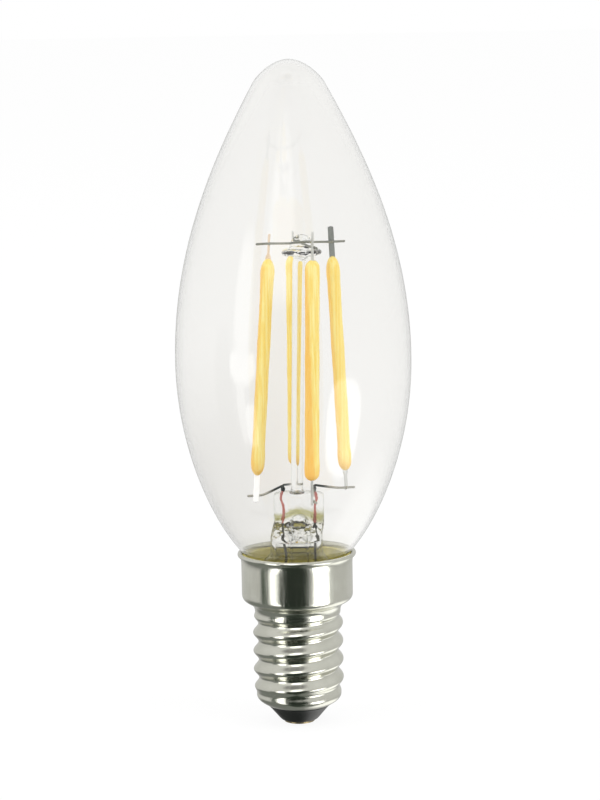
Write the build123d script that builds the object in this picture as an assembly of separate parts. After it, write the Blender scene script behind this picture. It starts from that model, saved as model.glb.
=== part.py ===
# A clear candle-shaped lamp bulb with four LED filaments and a small screw cap.
# The tip of the cap is at the origin and the bulb points up along Z.
# Lengths are in millimetres, and the camera of the photograph looks along +Y.
from build123d import *
import math
import os

# The glass bulb
bulb_height = 100.2
bulb_radius = 17.67
widest_height = 55.6
nose_radius = 5.3
nose_drop = 3.4
nose_lean = 29.0
glass_wall = 0.75
neck_radius = 7.75
neck_lean = 44.0
neck_below_rim = 0.5
seal_below_neck = 2.5
seal_height = 1.1

# The screw cap, pressed from thin sheet
sheet = 0.3
rim_top = 26.4
rim_thick = 0.7
rim_radius = 8.97
rim_mouth = 8.45
skirt_radius = 8.42
skirt_height = 6.9
shoulder_height = 2.3
collar_radius = 6.5
cone_height = 1.35
metal_low_radius = 4.9
thread_pitch = 2.822
thread_mid_radius = 6.45
thread_depth = 0.8
thread_start = 12.5
thread_run_in = 2.2
thread_run_out = 1.4
rings_per_turn = 6

# The insulator and the contact at the tip
contact_thick = 0.3
insulator_height = 2.45
insulator_low_radius = 2.66
insulator_hole = 0.7
contact_radius = 2.3
contact_hole = 0.55
eyelet_height = 0.8

# The glass stem inside the bulb
flare_tube_radius = 3.95
flare_wall = 0.8
flare_height = 4.0
flare_tube_height = 1.2
hollow_roof = 0.3
squeeze_height = 2.5
press_height = 4.3
press_width = 7.6
press_depth = 3.0
press_offset = 0.45
exhaust_radius = 1.7
exhaust_wall = 0.5
exhaust_length = 11.0
exhaust_seat = 1.1
exhaust_hole = 1.15
exhaust_hole_rise = 0.9
rod_radius = 0.92
rod_sunk = 2.3
rod_foot_x = 0.2
rod_top_x = 1.05
button_x = 1.45
button_below_wire = 1.9
button_radius = 2.9
button_flange = 0.9
button_dome_radius = 1.75
button_dome = 2.2

# The four filaments stand round the rod and lean in towards the top
foot_angle = {"left": 193, "right": 13, "front": -77, "rear": 98}
head_angle = {"left": 193, "right": 13, "front": -69, "rear": 103}
foot_centre_x = 0.93
head_centre_x = 1.31
foot_ring_radius = 6.82
head_ring_radius = 4.9
filament_lift = 2.7
filament_rise = 32.5
coat_radius = 1.05
coat_round = 0.48
strip_width = 0.9
strip_thick = 0.3
strip_inset = 0.9
chip_length = 0.6
chip_width = 0.4
chip_thick = 0.15
chip_pitch = 1.3
tab_width = 0.85
tab_thick = 0.2
tab_past_arm = {"left": 1.0, "right": 0.4, "front": 0.6, "rear": 0.6}
tab_past_wire = {"left": 1.5, "right": 2.3, "front": 2.0, "rear": 1.4}

# The wires
lead_radius = 0.19
support_radius = 0.185
seal_wire_radius = 0.22
seal_wire_drop = 0.5
seal_wire_above = 0.2
outer_lead_radius = 0.2
wire_bite = 0.03
side_wire_rise = 2.2
side_wire_overrun = 1.95
cross_wire_drop = 0.42
cross_wire_overrun = 1.2
arm_drops = {"left": 3.1, "right": 2.6, "front": 3.1, "rear": 2.6}
arm_overrun = 1.2
arm_straight = 1.0
weld_gap = 0.01
lead_spacing = 4.7
lead_board_x = 3.3
lead_board_grip = 1.3
lead_board_rise = 2.0
lead_bow = 1.6
lead_bow_rise = 2.2
lead_drop = 0.6
wire_bend = 0.6
arm_bend = 0.4
arm_rise = 0.25

# The driver board and its parts inside the cap
board_width = 9.0
board_height = 8.7
board_thick = 0.8
board_above_collar = 0.4
fuse_radius = 1.1
fuse_gap = 0.6
fuse_length = 3.3
fuse_wire_radius = 0.25
fuse_wire_grip = 2.1
rectifier_size = (4.7, 1.4, 3.8)
driver_chip_size = (4.9, 1.5, 3.9)
capacitor_size = (3.2, 1.9, 2.5)
resistor_size = (3.2, 0.6, 1.6)
upper_row_drop = 3.6
lower_row_drop = 6.9
row_spread = 2.3
leg_size = 0.5
leg_thick = 0.25
shell_wire_radius = 0.18
shell_wire_x = 4.1
shell_wire_grip = 1.6
shell_wire_drop = 1.6
shell_wire_rise = 0.7
shell_wire_below = 0.4

# The hard cement that holds the glass in the cap
cement_above_skirt = 1.1
cement_below_neck = 0.3

# Heights that follow from the sizes above
metal_low = contact_thick + insulator_height
thread_low = metal_low + cone_height
skirt_low = rim_top - skirt_height
collar_top = skirt_low - shoulder_height
neck_top = rim_top - neck_below_rim
seal_low = neck_top - seal_below_neck
cement_low = skirt_low + cement_above_skirt
cement_top = neck_top - cement_below_neck
flare_tube_low = seal_low + flare_height
flare_hollow_top = flare_tube_low + flare_tube_height
press_neck = flare_hollow_top + hollow_roof
press_low = press_neck + squeeze_height
press_top = press_low + press_height
exhaust_top = press_low - exhaust_seat
exhaust_tip = exhaust_top - exhaust_length
exhaust_hole_height = exhaust_top + exhaust_hole_rise
seal_wire_low = press_low - seal_wire_drop
rod_foot = press_top - rod_sunk
filament_low = press_top + filament_lift
filament_high = filament_low + filament_rise
side_wire_height = filament_high + side_wire_rise
button_low = side_wire_height - button_below_wire
board_high = collar_top + board_above_collar
board_low = board_high - board_height
board_face = fuse_wire_radius - wire_bite
fuse_low = thread_low + fuse_gap
neck_inside = neck_radius - glass_wall

STAND = (Align.CENTER, Align.CENTER, Align.MIN)


def block(width, depth, height, x, y, z):
    """A plain box with its middle at x and y and its foot at z."""
    return Pos(x, y, z) * Box(width, depth, height, align=STAND)


def rod_between(start, end, radius):
    """A straight round rod from one point to another."""
    path = Line(start, end)
    return sweep(Plane(origin=path @ 0, z_dir=path % 0) * Circle(radius), path=path)


def smooth_step(share):
    """Rises from 0 to 1 without corners as the share goes from 0 to 1."""
    held = min(1.0, max(0.0, share))
    return held * held * (3 - 2 * held)


def turned_solid(outline):
    """Turns a closed outline in the XZ plane once round the Z axis."""
    return revolve(make_face(outline), Axis.Z)


def rounded_path(points, bend):
    """Straight runs between the points, with an arc where the path turns."""
    points = [Vector(*point) for point in points]
    last = points[0]
    path = []
    for before, corner, after in zip(points, points[1:], points[2:]):
        arriving = (corner - before).normalized()
        leaving = (after - corner).normalized()
        half_turn = math.radians(arriving.get_angle(leaving)) / 2
        if half_turn < 0.001:
            continue
        cut = bend * math.tan(half_turn)
        start = corner - arriving * cut
        finish = corner + leaving * cut
        inside = (leaving - arriving).normalized()
        middle = corner + inside * (bend / math.cos(half_turn) - bend)
        path.append(Line(last, start))
        path.append(ThreePointArc(start, middle, finish))
        last = finish
    path.append(Line(last, points[-1]))
    return Curve() + path


def bent_wire(points, bend, radius):
    """A round wire along straight runs with an even bend at each corner."""
    path = rounded_path(points, bend)
    section = Plane(origin=path @ 0, z_dir=path % 0) * Circle(radius)
    return sweep(section, path=path)


def glass_curve(inset):
    """The flame-shaped side of the bulb from neck to nose, inset by a wall."""
    lean = math.radians(nose_lean)
    tilt = math.radians(neck_lean)
    top = bulb_height - inset
    widest = bulb_radius - inset
    neck = Vector(neck_radius - inset, 0, neck_top)
    join_x = nose_radius - inset * math.cos(lean)
    join = Vector(join_x, 0, bulb_height - nose_drop - inset * math.sin(lean))
    up_and_in = Vector(-math.sin(lean), 0, math.cos(lean))
    up_and_out = Vector(math.sin(tilt), 0, math.cos(tilt))
    middle = Vector(widest, 0, widest_height)
    lower_rise = widest_height - neck_top
    upper_rise = bulb_height - nose_drop - widest_height
    lower = Bezier(
        neck,
        neck + up_and_out * (lower_rise * 0.233),
        middle - Vector(0, 0, lower_rise * 0.443),
        middle,
    )
    upper = Bezier(
        middle,
        middle + Vector(0, 0, upper_rise * 0.4),
        join - up_and_in * (upper_rise * 0.32),
        join,
    )
    nose = Bezier(
        join,
        join + up_and_in * (nose_drop * 0.3),
        Vector(join_x * 0.47, 0, top),
        Vector(0, 0, top),
    )
    return lower + upper + nose


def glass_envelope():
    """The blown bulb with its neck, one glass wall thick and open below."""
    neck_inside = neck_radius - glass_wall
    edges = glass_curve(0) + glass_curve(glass_wall)
    edges += Line((neck_radius, 0, seal_low), (neck_radius, 0, neck_top))
    edges += Line((0, 0, bulb_height), (0, 0, bulb_height - glass_wall))
    edges += Line((neck_inside, 0, neck_top), (neck_inside, 0, seal_low))
    edges += Line((neck_inside, 0, seal_low), (neck_radius, 0, seal_low))
    return turned_solid(edges)


def thread_ring(height, skin):
    """One level circle of the threaded wall.

    A round thread is a circle whose centre goes round the axis once a pitch
    as it climbs, so each level section is a plain circle set off centre.
    """
    run_in = smooth_step((height - thread_low) / thread_run_in)
    run_out = smooth_step((collar_top - height) / thread_run_out)
    swing = thread_depth / 2 * run_in * run_out
    turn = math.radians(360 * (height - thread_start) / thread_pitch)
    lower = (thread_low - height) / (thread_low - metal_low)
    radius = thread_mid_radius - skin
    if lower > 0:
        radius -= (thread_mid_radius - metal_low_radius) * min(1.0, lower)
    if height > collar_top - thread_run_out:
        share = smooth_step((height - collar_top + thread_run_out) / thread_run_out)
        radius += (collar_radius - thread_mid_radius) * share
    centre = (swing * math.cos(turn), swing * math.sin(turn), height)
    return Wire.make_circle(radius, Plane(origin=centre, x_dir=(1, 0, 0), z_dir=(0, 0, 1)))


def threaded_core(skin):
    """The solid inside the threaded wall, its skin taken off all round."""
    count = round((collar_top - thread_low) / thread_pitch * rings_per_turn)
    step = (collar_top - thread_low) / count
    heights = [metal_low] + [thread_low + step * level for level in range(count + 1)]
    rings = [thread_ring(height, skin) for height in heights]
    return Solid.make_loft(rings, ruled=True)


def cap_crown(skin, low, high):
    """The solid inside the shoulder, the skirt and the rim of the cap."""
    collar = collar_radius - skin
    skirt = skirt_radius - skin
    slope = skirt_low - collar_top
    elbow = (collar + (skirt - collar) * 0.35, 0, collar_top + slope * 0.45)
    shoulder = Spline(
        (collar, 0, collar_top),
        elbow,
        (skirt, 0, skirt_low + skin * 0.4),
        tangents=[(0, 0, 1), (0, 0, 1)],
    )
    edges = Line((0, 0, low), (collar, 0, low))
    if low < collar_top:
        edges += Line((collar, 0, low), (collar, 0, collar_top))
    edges += shoulder
    edges += Line(shoulder @ 1, (skirt, 0, high))
    edges += Line((skirt, 0, high), (0, 0, high))
    edges += Line((0, 0, high), (0, 0, low))
    return turned_solid(edges)


def screw_shell():
    """The thin threaded shell with its skirt and its turned-out rim."""
    outside = threaded_core(0) + cap_crown(0, collar_top, rim_top - rim_thick)
    rim_under = rim_top - rim_thick
    flare = rim_radius - skirt_radius
    bead = rim_thick / 2
    bead_centre = (rim_radius - bead, rim_under + bead)
    slant = (bead_centre[0] + bead * 0.707, 0, bead_centre[1] + bead * 0.707)
    edges = Line((0, 0, rim_under - flare), (skirt_radius, 0, rim_under - flare))
    edges += Line((skirt_radius, 0, rim_under - flare), (rim_radius, 0, rim_under))
    edges += Line((rim_radius, 0, rim_under), (rim_radius, 0, rim_under + bead))
    edges += ThreePointArc((rim_radius, 0, rim_under + bead), slant, (rim_radius - bead, 0, rim_top))
    edges += Line((rim_radius - bead, 0, rim_top), (0, 0, rim_top))
    edges += Line((0, 0, rim_top), (0, 0, rim_under - flare))
    rim = turned_solid(edges)
    inner = skirt_radius - sheet
    mouth_height = rim_top - rim_under
    mouth = Pos(0, 0, rim_under) * Cone(inner, rim_mouth, mouth_height, align=STAND)
    hollow = threaded_core(sheet) + cap_crown(sheet, collar_top, rim_under) + mouth
    return outside + rim - hollow


def insulator():
    """The black glass button that closes the cap under the metal."""
    low_inside = metal_low_radius - sheet
    top_inside = thread_mid_radius - sheet
    edges = Line((insulator_hole, 0, contact_thick), (insulator_low_radius, 0, contact_thick))
    edges += Line((insulator_low_radius, 0, contact_thick), (metal_low_radius, 0, metal_low))
    edges += Line((metal_low_radius, 0, metal_low), (low_inside, 0, metal_low))
    edges += Line((low_inside, 0, metal_low), (top_inside, 0, thread_low))
    edges += Line((top_inside, 0, thread_low), (insulator_hole, 0, thread_low))
    edges += Line((insulator_hole, 0, thread_low), (insulator_hole, 0, contact_thick))
    return turned_solid(edges)


def tip_contact():
    """The round brass plate at the very end, with a short eyelet."""
    plate = Cylinder(contact_radius, contact_thick, align=STAND)
    eyelet = Pos(0, 0, contact_thick) * Cylinder(insulator_hole, eyelet_height, align=STAND)
    bore = Cylinder(contact_hole, contact_thick + eyelet_height, align=STAND)
    return plate + eyelet - bore


def contact_solder():
    """Solder that fills the eyelet and holds the fuse's wire in it."""
    plug = Cylinder(contact_hole, contact_thick + eyelet_height, align=STAND)
    return plug - fuse_wires()


def cement_ring():
    """The cement between the glass neck and the skirt of the cap."""
    outer = skirt_radius - sheet
    edges = Line((neck_inside, 0, cement_low), (outer, 0, cement_low))
    edges += Line((outer, 0, cement_low), (outer, 0, cement_top))
    edges += Line((outer, 0, cement_top), (neck_radius, 0, cement_top))
    edges += Line((neck_radius, 0, cement_top), (neck_radius, 0, seal_low))
    edges += Line((neck_radius, 0, seal_low), (neck_inside, 0, seal_low))
    edges += Line((neck_inside, 0, seal_low), (neck_inside, 0, cement_low))
    return turned_solid(edges) - shell_lead()


def flare_profile(edge_radius, edge_height, tube_radius):
    """The trumpet line from the seal at the neck up to the flare's tube."""
    return Bezier(
        (edge_radius, 0, edge_height),
        (edge_radius - (edge_radius - tube_radius) * 0.75, 0, edge_height + 0.3),
        (tube_radius, 0, edge_height + (flare_tube_low - edge_height) * 0.45),
        (tube_radius, 0, flare_tube_low),
    )


def stem_flare():
    """The glass stem: a trumpet fused to the neck, pressed flat on the leads."""
    seal_high = seal_low + seal_height
    edges = Line((0, 0, seal_low), (neck_inside, 0, seal_low))
    edges += Line((neck_inside, 0, seal_low), (neck_inside, 0, seal_high))
    edges += flare_profile(neck_inside, seal_high, flare_tube_radius)
    edges += Line((flare_tube_radius, 0, flare_tube_low), (flare_tube_radius, 0, press_neck))
    edges += Line((flare_tube_radius, 0, press_neck), (0, 0, press_neck))
    edges += Line((0, 0, press_neck), (0, 0, seal_low))
    trumpet = turned_solid(edges)
    flat = Pos(press_offset, 0) * RectangleRounded(press_width, press_depth, press_depth * 0.3)
    tube_end = Plane.XY.offset(press_neck) * Circle(flare_tube_radius)
    squeeze = loft([tube_end, Plane.XY.offset(press_low) * flat], ruled=True)
    press = extrude(Plane.XY.offset(press_low) * flat, press_top - press_low)
    press = fillet(press.edges().group_by(Axis.Z)[-1], press_depth * 0.2)
    hollow_radius = flare_tube_radius - flare_wall
    hollow_edge = neck_inside - flare_wall
    edges = Line((0, 0, seal_low), (hollow_edge, 0, seal_low))
    edges += flare_profile(hollow_edge, seal_low, hollow_radius)
    edges += Line((hollow_radius, 0, flare_tube_low), (hollow_radius, 0, flare_hollow_top))
    edges += Line((hollow_radius, 0, flare_hollow_top), (0, 0, flare_hollow_top))
    edges += Line((0, 0, flare_hollow_top), (0, 0, seal_low))
    hollow = turned_solid(edges)
    stem = trumpet + squeeze + press - hollow
    for bore in stem_bores():
        stem -= bore
    return stem


def stem_bores():
    """What passes through the glass of the press, as solids to cut."""
    tube_length = exhaust_top - flare_hollow_top
    tube = Cylinder(exhaust_radius, tube_length, align=STAND)
    rise = exhaust_hole_height - exhaust_top
    bore = Cylinder(exhaust_radius - exhaust_wall, rise, align=STAND)
    side = Pos(0, -press_depth, 0) * Rot(90, 0, 0) * Cylinder(exhaust_hole, press_depth * 2)
    cuts = [Pos(press_offset, 0, flare_hollow_top) * tube]
    cuts.append(Pos(press_offset, 0, exhaust_top) * bore)
    cuts.append(Pos(press_offset, 0, exhaust_hole_height) * side)
    for side_sign in (-1, 1):
        cuts.append(seal_wire(side_sign))
        cuts.append(outer_lead(side_sign))
    cuts.append(rod_shaft())
    return cuts


def exhaust_tube():
    """The glass pipe that the air was drawn out through, sealed at its tip."""
    straight = exhaust_top - exhaust_tip - exhaust_radius
    wall = Pos(0, 0, exhaust_tip + exhaust_radius) * Cylinder(exhaust_radius, straight, align=STAND)
    tip = Pos(0, 0, exhaust_tip + exhaust_radius) * Sphere(exhaust_radius)
    inner = exhaust_radius - exhaust_wall
    bore = Pos(0, 0, exhaust_tip + exhaust_radius) * Cylinder(inner, straight, align=STAND)
    bore += Pos(0, 0, exhaust_tip + exhaust_radius) * Sphere(inner)
    return Pos(press_offset, 0, 0) * (wall + tip - bore)


def lead_x(side_sign):
    """How far from the axis a lead passes through the press."""
    return press_offset + side_sign * lead_spacing / 2


def seal_wire(side_sign):
    """The red copper-clad wire that the glass of the press seals to."""
    length = press_top + seal_wire_above - seal_wire_low
    return Pos(lead_x(side_sign), 0, seal_wire_low) * Cylinder(seal_wire_radius, length, align=STAND)


def outer_lead(side_sign):
    """A lead from the press down to the driver board."""
    face = board_face - outer_lead_radius + wire_bite
    bow = lead_bow if side_sign < 0 else 0
    points = [
        (lead_x(side_sign), 0, seal_wire_low),
        (lead_x(side_sign), 0, flare_hollow_top - lead_drop),
        (lead_x(side_sign) + bow * 0.3, -bow, seal_low + lead_bow_rise),
        (side_sign * lead_board_x, face, board_high + lead_board_rise),
        (side_sign * lead_board_x, face, board_high - lead_board_grip),
    ]
    return bent_wire(points, wire_bend, outer_lead_radius)


def rod_shaft():
    """The thin glass rod that rises from the press to the button."""
    return rod_between((rod_foot_x, 0, rod_foot), (rod_top_x, 0, button_low + 0.5), rod_radius)


def center_rod():
    """The glass rod with the button that was melted on its end."""
    flange = Pos(button_x, 0, button_low) * Cylinder(button_radius, button_flange, align=STAND)
    flange = fillet(flange.edges().filter_by(GeomType.CIRCLE), button_flange * 0.45)
    dome = Pos(button_x, 0, button_low) * Cylinder(
        button_dome_radius, button_flange + button_dome, align=STAND
    )
    dome = fillet(dome.edges().group_by(Axis.Z)[-1], button_dome_radius * 0.48)
    return rod_shaft() + flange + dome - side_wire() - cross_wire()


def outward(name):
    """The level direction from the rod towards a filament."""
    angle = math.radians((foot_angle[name] + head_angle[name]) / 2)
    return Vector(math.cos(angle), math.sin(angle), 0)


def ring_point(centre_x, radius, angle, height):
    """A point of the ring that the ends of the filaments stand on."""
    turn = math.radians(angle)
    return Vector(centre_x + radius * math.cos(turn), radius * math.sin(turn), height)


def filament_ends(name):
    """The middle of a filament's lower end and of its upper end."""
    foot = ring_point(foot_centre_x, foot_ring_radius, foot_angle[name], filament_low)
    head = ring_point(head_centre_x, head_ring_radius, head_angle[name], filament_high)
    return foot, head


def by_filament(name, out, side, height):
    """A point on a filament's line at a height, moved outwards and sideways."""
    foot, head = filament_ends(name)
    on_line = foot + (head - foot) * ((height - filament_low) / filament_rise)
    sideways = outward(name).rotate(Axis.Z, 90)
    return on_line + outward(name) * out + sideways * side


def wire_side(radius):
    """How far beside a tab's middle a wire lies when it is welded to it."""
    return tab_thick / 2 + radius - wire_bite


def side_wire():
    """The upper wire that joins the left and right filaments."""
    side = wire_side(support_radius)
    left = by_filament("left", side_wire_overrun, side, side_wire_height)
    right = by_filament("right", side_wire_overrun, -side, side_wire_height)
    return rod_between(left, right, support_radius)


def cross_wire():
    """The upper wire that joins the front and rear filaments."""
    height = side_wire_height - cross_wire_drop
    side = wire_side(support_radius)
    front = by_filament("front", cross_wire_overrun, side, height)
    rear = by_filament("rear", cross_wire_overrun, -side, height)
    return rod_between(front, rear, support_radius)


def lower_arm(name, lead_sign, wire_sign, beside_sign):
    """An arm from the top of a red wire out to a filament's lower tab.

    The arms to the front and rear filaments start beside the other arm.
    """
    beside = (2 * lead_radius + weld_gap) * beside_sign
    knot = Vector(lead_x(lead_sign), beside, press_top + seal_wire_above)
    height = filament_low - arm_drops[name]
    side = wire_sign * wire_side(lead_radius)
    near = by_filament(name, -arm_straight, side, height)
    end = by_filament(name, arm_overrun, side, height)
    points = [knot, knot + Vector(0, 0, arm_rise + arm_bend), near, end]
    return bent_wire(points, arm_bend, lead_radius)


def filament_place(name):
    """The frame of a filament, its Z along it and its X away from the rod."""
    foot, head = filament_ends(name)
    return Plane(origin=foot, x_dir=outward(name), z_dir=head - foot), (head - foot).length


def filament_strip(name):
    """The thin ceramic strip that the chips sit on."""
    frame, length = filament_place(name)
    strip = block(strip_width, strip_thick, length - 2 * strip_inset, 0, 0, strip_inset)
    return frame * strip


def chip_gap(length):
    """The length of the strip between the first and the last chip."""
    count = int((length - 2 * strip_inset - chip_length) / chip_pitch)
    return count * chip_pitch


def filament_chips(name):
    """The row of small light-giving chips along the strip."""
    frame, length = filament_place(name)
    span = chip_gap(length)
    count = round(span / chip_pitch)
    first = (length - span) / 2 - chip_length / 2
    depth = (strip_thick + chip_thick) / 2
    chips = []
    for step in range(count + 1):
        height = first + step * chip_pitch
        chips.append(block(chip_width, chip_thick, chip_length, 0, depth, height))
    return Compound(children=[frame * chip for chip in chips])


def plain_tab(name, length, upper):
    """A flat tab that butts on an end of the strip, in the filament's frame."""
    if upper:
        start = length - strip_inset
        reach = strip_inset + side_wire_rise + tab_past_wire[name]
    else:
        start = -arm_drops[name] - tab_past_arm[name]
        reach = strip_inset - start
    return block(tab_width, tab_thick, reach, 0, 0, start)


def upper_tab(name):
    """A filament's upper tab, with the mark of the wire welded across it."""
    frame, length = filament_place(name)
    wire = side_wire() if name in ("left", "right") else cross_wire()
    return frame * plain_tab(name, length, True) - wire


def lower_tab(name, arm):
    """A filament's lower tab, with the mark of the arm welded across it."""
    frame, length = filament_place(name)
    return frame * plain_tab(name, length, False) - arm


def filament_coat(name):
    """The yellow silicone coat round the strip, rounded at both ends."""
    frame, length = filament_place(name)
    coat = Cylinder(coat_radius, length, align=STAND)
    coat = fillet(coat.edges().filter_by(GeomType.CIRCLE), coat_round)
    slot_length = chip_gap(length) + chip_length
    depth = (strip_thick + chip_thick) / 2
    coat -= block(chip_width, chip_thick, slot_length, 0, depth, (length - slot_length) / 2)
    coat -= block(strip_width, strip_thick, length - 2 * strip_inset, 0, 0, strip_inset)
    coat -= plain_tab(name, length, True)
    coat -= plain_tab(name, length, False)
    return frame * coat


def fuse_wires():
    """The two straight wires of the fuse resistor."""
    low = contact_thick / 2
    return Pos(0, 0, low) * Cylinder(fuse_wire_radius, board_low + fuse_wire_grip - low, align=STAND)


def fuse_resistor():
    """The fuse resistor in the lead from the tip to the board."""
    body = Pos(0, 0, fuse_low) * Cylinder(fuse_radius, fuse_length, align=STAND)
    body = fillet(body.edges().filter_by(GeomType.CIRCLE), fuse_radius * 0.3)
    return body + fuse_wires()


def driver_board():
    """The upright circuit board of the driver."""
    middle = board_face + board_thick / 2
    board = block(board_width, board_thick, board_high - board_low, 0, middle, board_low)
    return board - fuse_wires() - outer_lead(-1) - outer_lead(1) - shell_lead_whole()


def case_with_legs(size, x, y, z, legs):
    """A flat moulded part on the board with a row of legs on both sides."""
    width, depth, height = size
    case = block(width, depth, height, x, y, z - height / 2)
    face = leg_thick / 2 if y > board_face else -leg_thick / 2
    foot = (board_face + board_thick if y > board_face else board_face) + face
    for step in range(legs):
        spot = z - height / 2 + height * (step + 0.5) / legs
        for side_sign in (-1, 1):
            reach = x + side_sign * (width + leg_size) / 2
            case += block(leg_size, leg_thick, leg_size, reach, foot, spot - leg_size / 2)
    return case


def rectifier():
    """The bridge rectifier on the front of the board."""
    depth = rectifier_size[1]
    return case_with_legs(rectifier_size, 0, board_face - depth / 2, board_high - upper_row_drop, 2)


def driver_chip():
    """The current driver chip on the back of the board."""
    depth = driver_chip_size[1]
    back = board_face + board_thick
    return case_with_legs(driver_chip_size, 0, back + depth / 2, board_high - upper_row_drop, 4)


def smoothing_capacitor():
    """The block capacitor on the back of the board."""
    width, depth, height = capacitor_size
    back = board_face + board_thick
    foot = board_high - lower_row_drop - height / 2
    return block(width, depth, height, -row_spread, back + depth / 2, foot)


def sense_resistor():
    """The flat resistor that sets the current, on the back of the board."""
    width, depth, height = resistor_size
    back = board_face + board_thick
    foot = board_high - lower_row_drop - height / 2
    return block(width, depth, height, row_spread, back + depth / 2, foot)


def shell_lead_whole():
    """The wire from the board to the shell, before it is pressed flat."""
    face = board_face - shell_wire_radius + wire_bite
    wall = skirt_radius - sheet - shell_wire_radius + wire_bite
    points = [
        (-shell_wire_x, face, board_high - shell_wire_drop),
        (-shell_wire_x, face, board_high + shell_wire_rise),
        (-wall, face, cement_low - shell_wire_below),
        (-wall, face, cement_low + shell_wire_grip),
    ]
    return bent_wire(points, wire_bend, shell_wire_radius)


def shell_lead():
    """The wire from the board that is trapped against the skirt."""
    limit = Pos(0, 0, board_low) * Cylinder(skirt_radius - sheet, rim_top - board_low, align=STAND)
    return shell_lead_whole() & limit


def all_pieces():
    """Every piece of the lamp bulb by name."""
    pieces = {
        "glass_envelope": glass_envelope(),
        "stem_flare": stem_flare(),
        "exhaust_tube": exhaust_tube(),
        "center_rod": center_rod(),
        "screw_shell": screw_shell(),
        "insulator": insulator(),
        "tip_contact": tip_contact(),
        "contact_solder": contact_solder(),
        "cement_ring": cement_ring(),
        "driver_board": driver_board(),
        "rectifier": rectifier(),
        "driver_chip": driver_chip(),
        "smoothing_capacitor": smoothing_capacitor(),
        "sense_resistor": sense_resistor(),
        "fuse_resistor": fuse_resistor(),
        "shell_lead": shell_lead(),
        "outer_lead_left": outer_lead(-1),
        "outer_lead_right": outer_lead(1),
        "seal_wire_left": seal_wire(-1),
        "seal_wire_right": seal_wire(1),
        "upper_wire_side": side_wire(),
        "upper_wire_cross": cross_wire(),
    }
    pieces["arm_left"] = lower_arm("left", -1, 1, 0)
    pieces["arm_right"] = lower_arm("right", 1, -1, 0)
    pieces["arm_rear"] = lower_arm("rear", -1, -1, 1)
    pieces["arm_front"] = lower_arm("front", 1, 1, -1)
    for name in foot_angle:
        pieces["filament_coat_" + name] = filament_coat(name)
        pieces["filament_strip_" + name] = filament_strip(name)
        pieces["filament_chips_" + name] = filament_chips(name)
        pieces["upper_tab_" + name] = upper_tab(name)
        pieces["lower_tab_" + name] = lower_tab(name, pieces["arm_" + name])
    return pieces


os.makedirs("parts", exist_ok=True)
for piece_name, piece in all_pieces().items():
    export_step(piece, "parts/" + piece_name + ".step")
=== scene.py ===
import bmesh
import bpy
import numpy as np
from mathutils import Matrix, Vector


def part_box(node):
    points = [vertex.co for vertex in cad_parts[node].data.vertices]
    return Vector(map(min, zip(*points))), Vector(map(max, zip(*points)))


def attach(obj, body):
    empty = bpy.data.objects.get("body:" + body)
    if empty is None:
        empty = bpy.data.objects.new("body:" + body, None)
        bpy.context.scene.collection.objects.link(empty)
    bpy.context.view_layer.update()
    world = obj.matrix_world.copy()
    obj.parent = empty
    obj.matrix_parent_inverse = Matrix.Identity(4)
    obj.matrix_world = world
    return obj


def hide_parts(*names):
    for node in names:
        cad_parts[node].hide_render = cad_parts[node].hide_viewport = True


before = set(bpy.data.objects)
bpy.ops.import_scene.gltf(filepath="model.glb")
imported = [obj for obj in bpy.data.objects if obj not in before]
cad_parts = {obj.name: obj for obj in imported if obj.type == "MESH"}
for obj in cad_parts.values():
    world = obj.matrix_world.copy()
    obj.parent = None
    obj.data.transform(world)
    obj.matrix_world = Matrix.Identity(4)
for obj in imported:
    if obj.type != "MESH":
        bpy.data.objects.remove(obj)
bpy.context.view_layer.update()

bl_info = {
    "name": "Filament Candle Bulb",
    "version": (1, 0, 0),
    "blender": (4, 5, 0),
    "location": "3D View > Sidebar > Bulb",
    "description": "Dresses the filament bulb: glass, stem, wires, filaments, screw cap and a studio",
    "category": "Add Mesh",
}

MM = 0.001
ROOT = "root"

# Where the two ends of each filament stand round the rod, in degrees
FOOT_ANGLE = {"left": 193.0, "right": 13.0, "front": -77.0, "rear": 98.0}
HEAD_ANGLE = {"left": 193.0, "right": 13.0, "front": -69.0, "rear": 103.0}

# How far each arm lies under its filament, and how long each tab is, in millimetres
ARM_DROP = {"left": 3.1, "right": 2.6, "front": 3.1, "rear": 2.6}
LOWER_TAB = {"left": 4.1, "right": 3.0, "front": 3.7, "rear": 3.2}
UPPER_TAB = {"left": 3.7, "right": 4.5, "front": 4.2, "rear": 3.6}

# The finish of each tab, plated where none is given, and how far a tab is twisted, in degrees
# The left lower tab has a painted glint: near white and glowing a little
LOWER_TAB_FINISH = {"left": "painted_glint_tab"}
UPPER_TAB_FINISH = {"left": "cream_tab", "right": "grey_tab"}
TAB_TWIST = {"lower_right": 50.0, "upper_left": 62.0}

# The deeper yellow edge of each silicone coat: its direction in degrees from outwards,
# the distance from the middle at which it starts, in millimetres, and its strength
EDGE_TURN = {"left": 0.0, "right": 180.0, "front": -90.0, "rear": 0.0}
EDGE_START = {"left": 0.55, "right": 0.5, "front": -0.4, "rear": 0.5}
EDGE_SHARE = {"left": 0.75, "right": 0.65, "front": 0.8, "rear": 0.6}

# How long the rounded ends of each silicone coat are, in millimetres
LOWER_TAPER = {"left": 1.8, "right": 1.5, "front": 1.0, "rear": 1.2}
UPPER_TAPER = {"left": 1.7, "right": 1.8, "front": 1.2, "rear": 1.5}

# The lead that carries each arm (-1 left, 1 right), the side of the tab that the arm
# runs along, and the side of the lead on which it is welded (0 where it is bent from it)
ARMS = {"left": (-1, -1, 0), "right": (1, -1, 0), "rear": (-1, -1, 1), "front": (1, 1, -1)}

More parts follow.
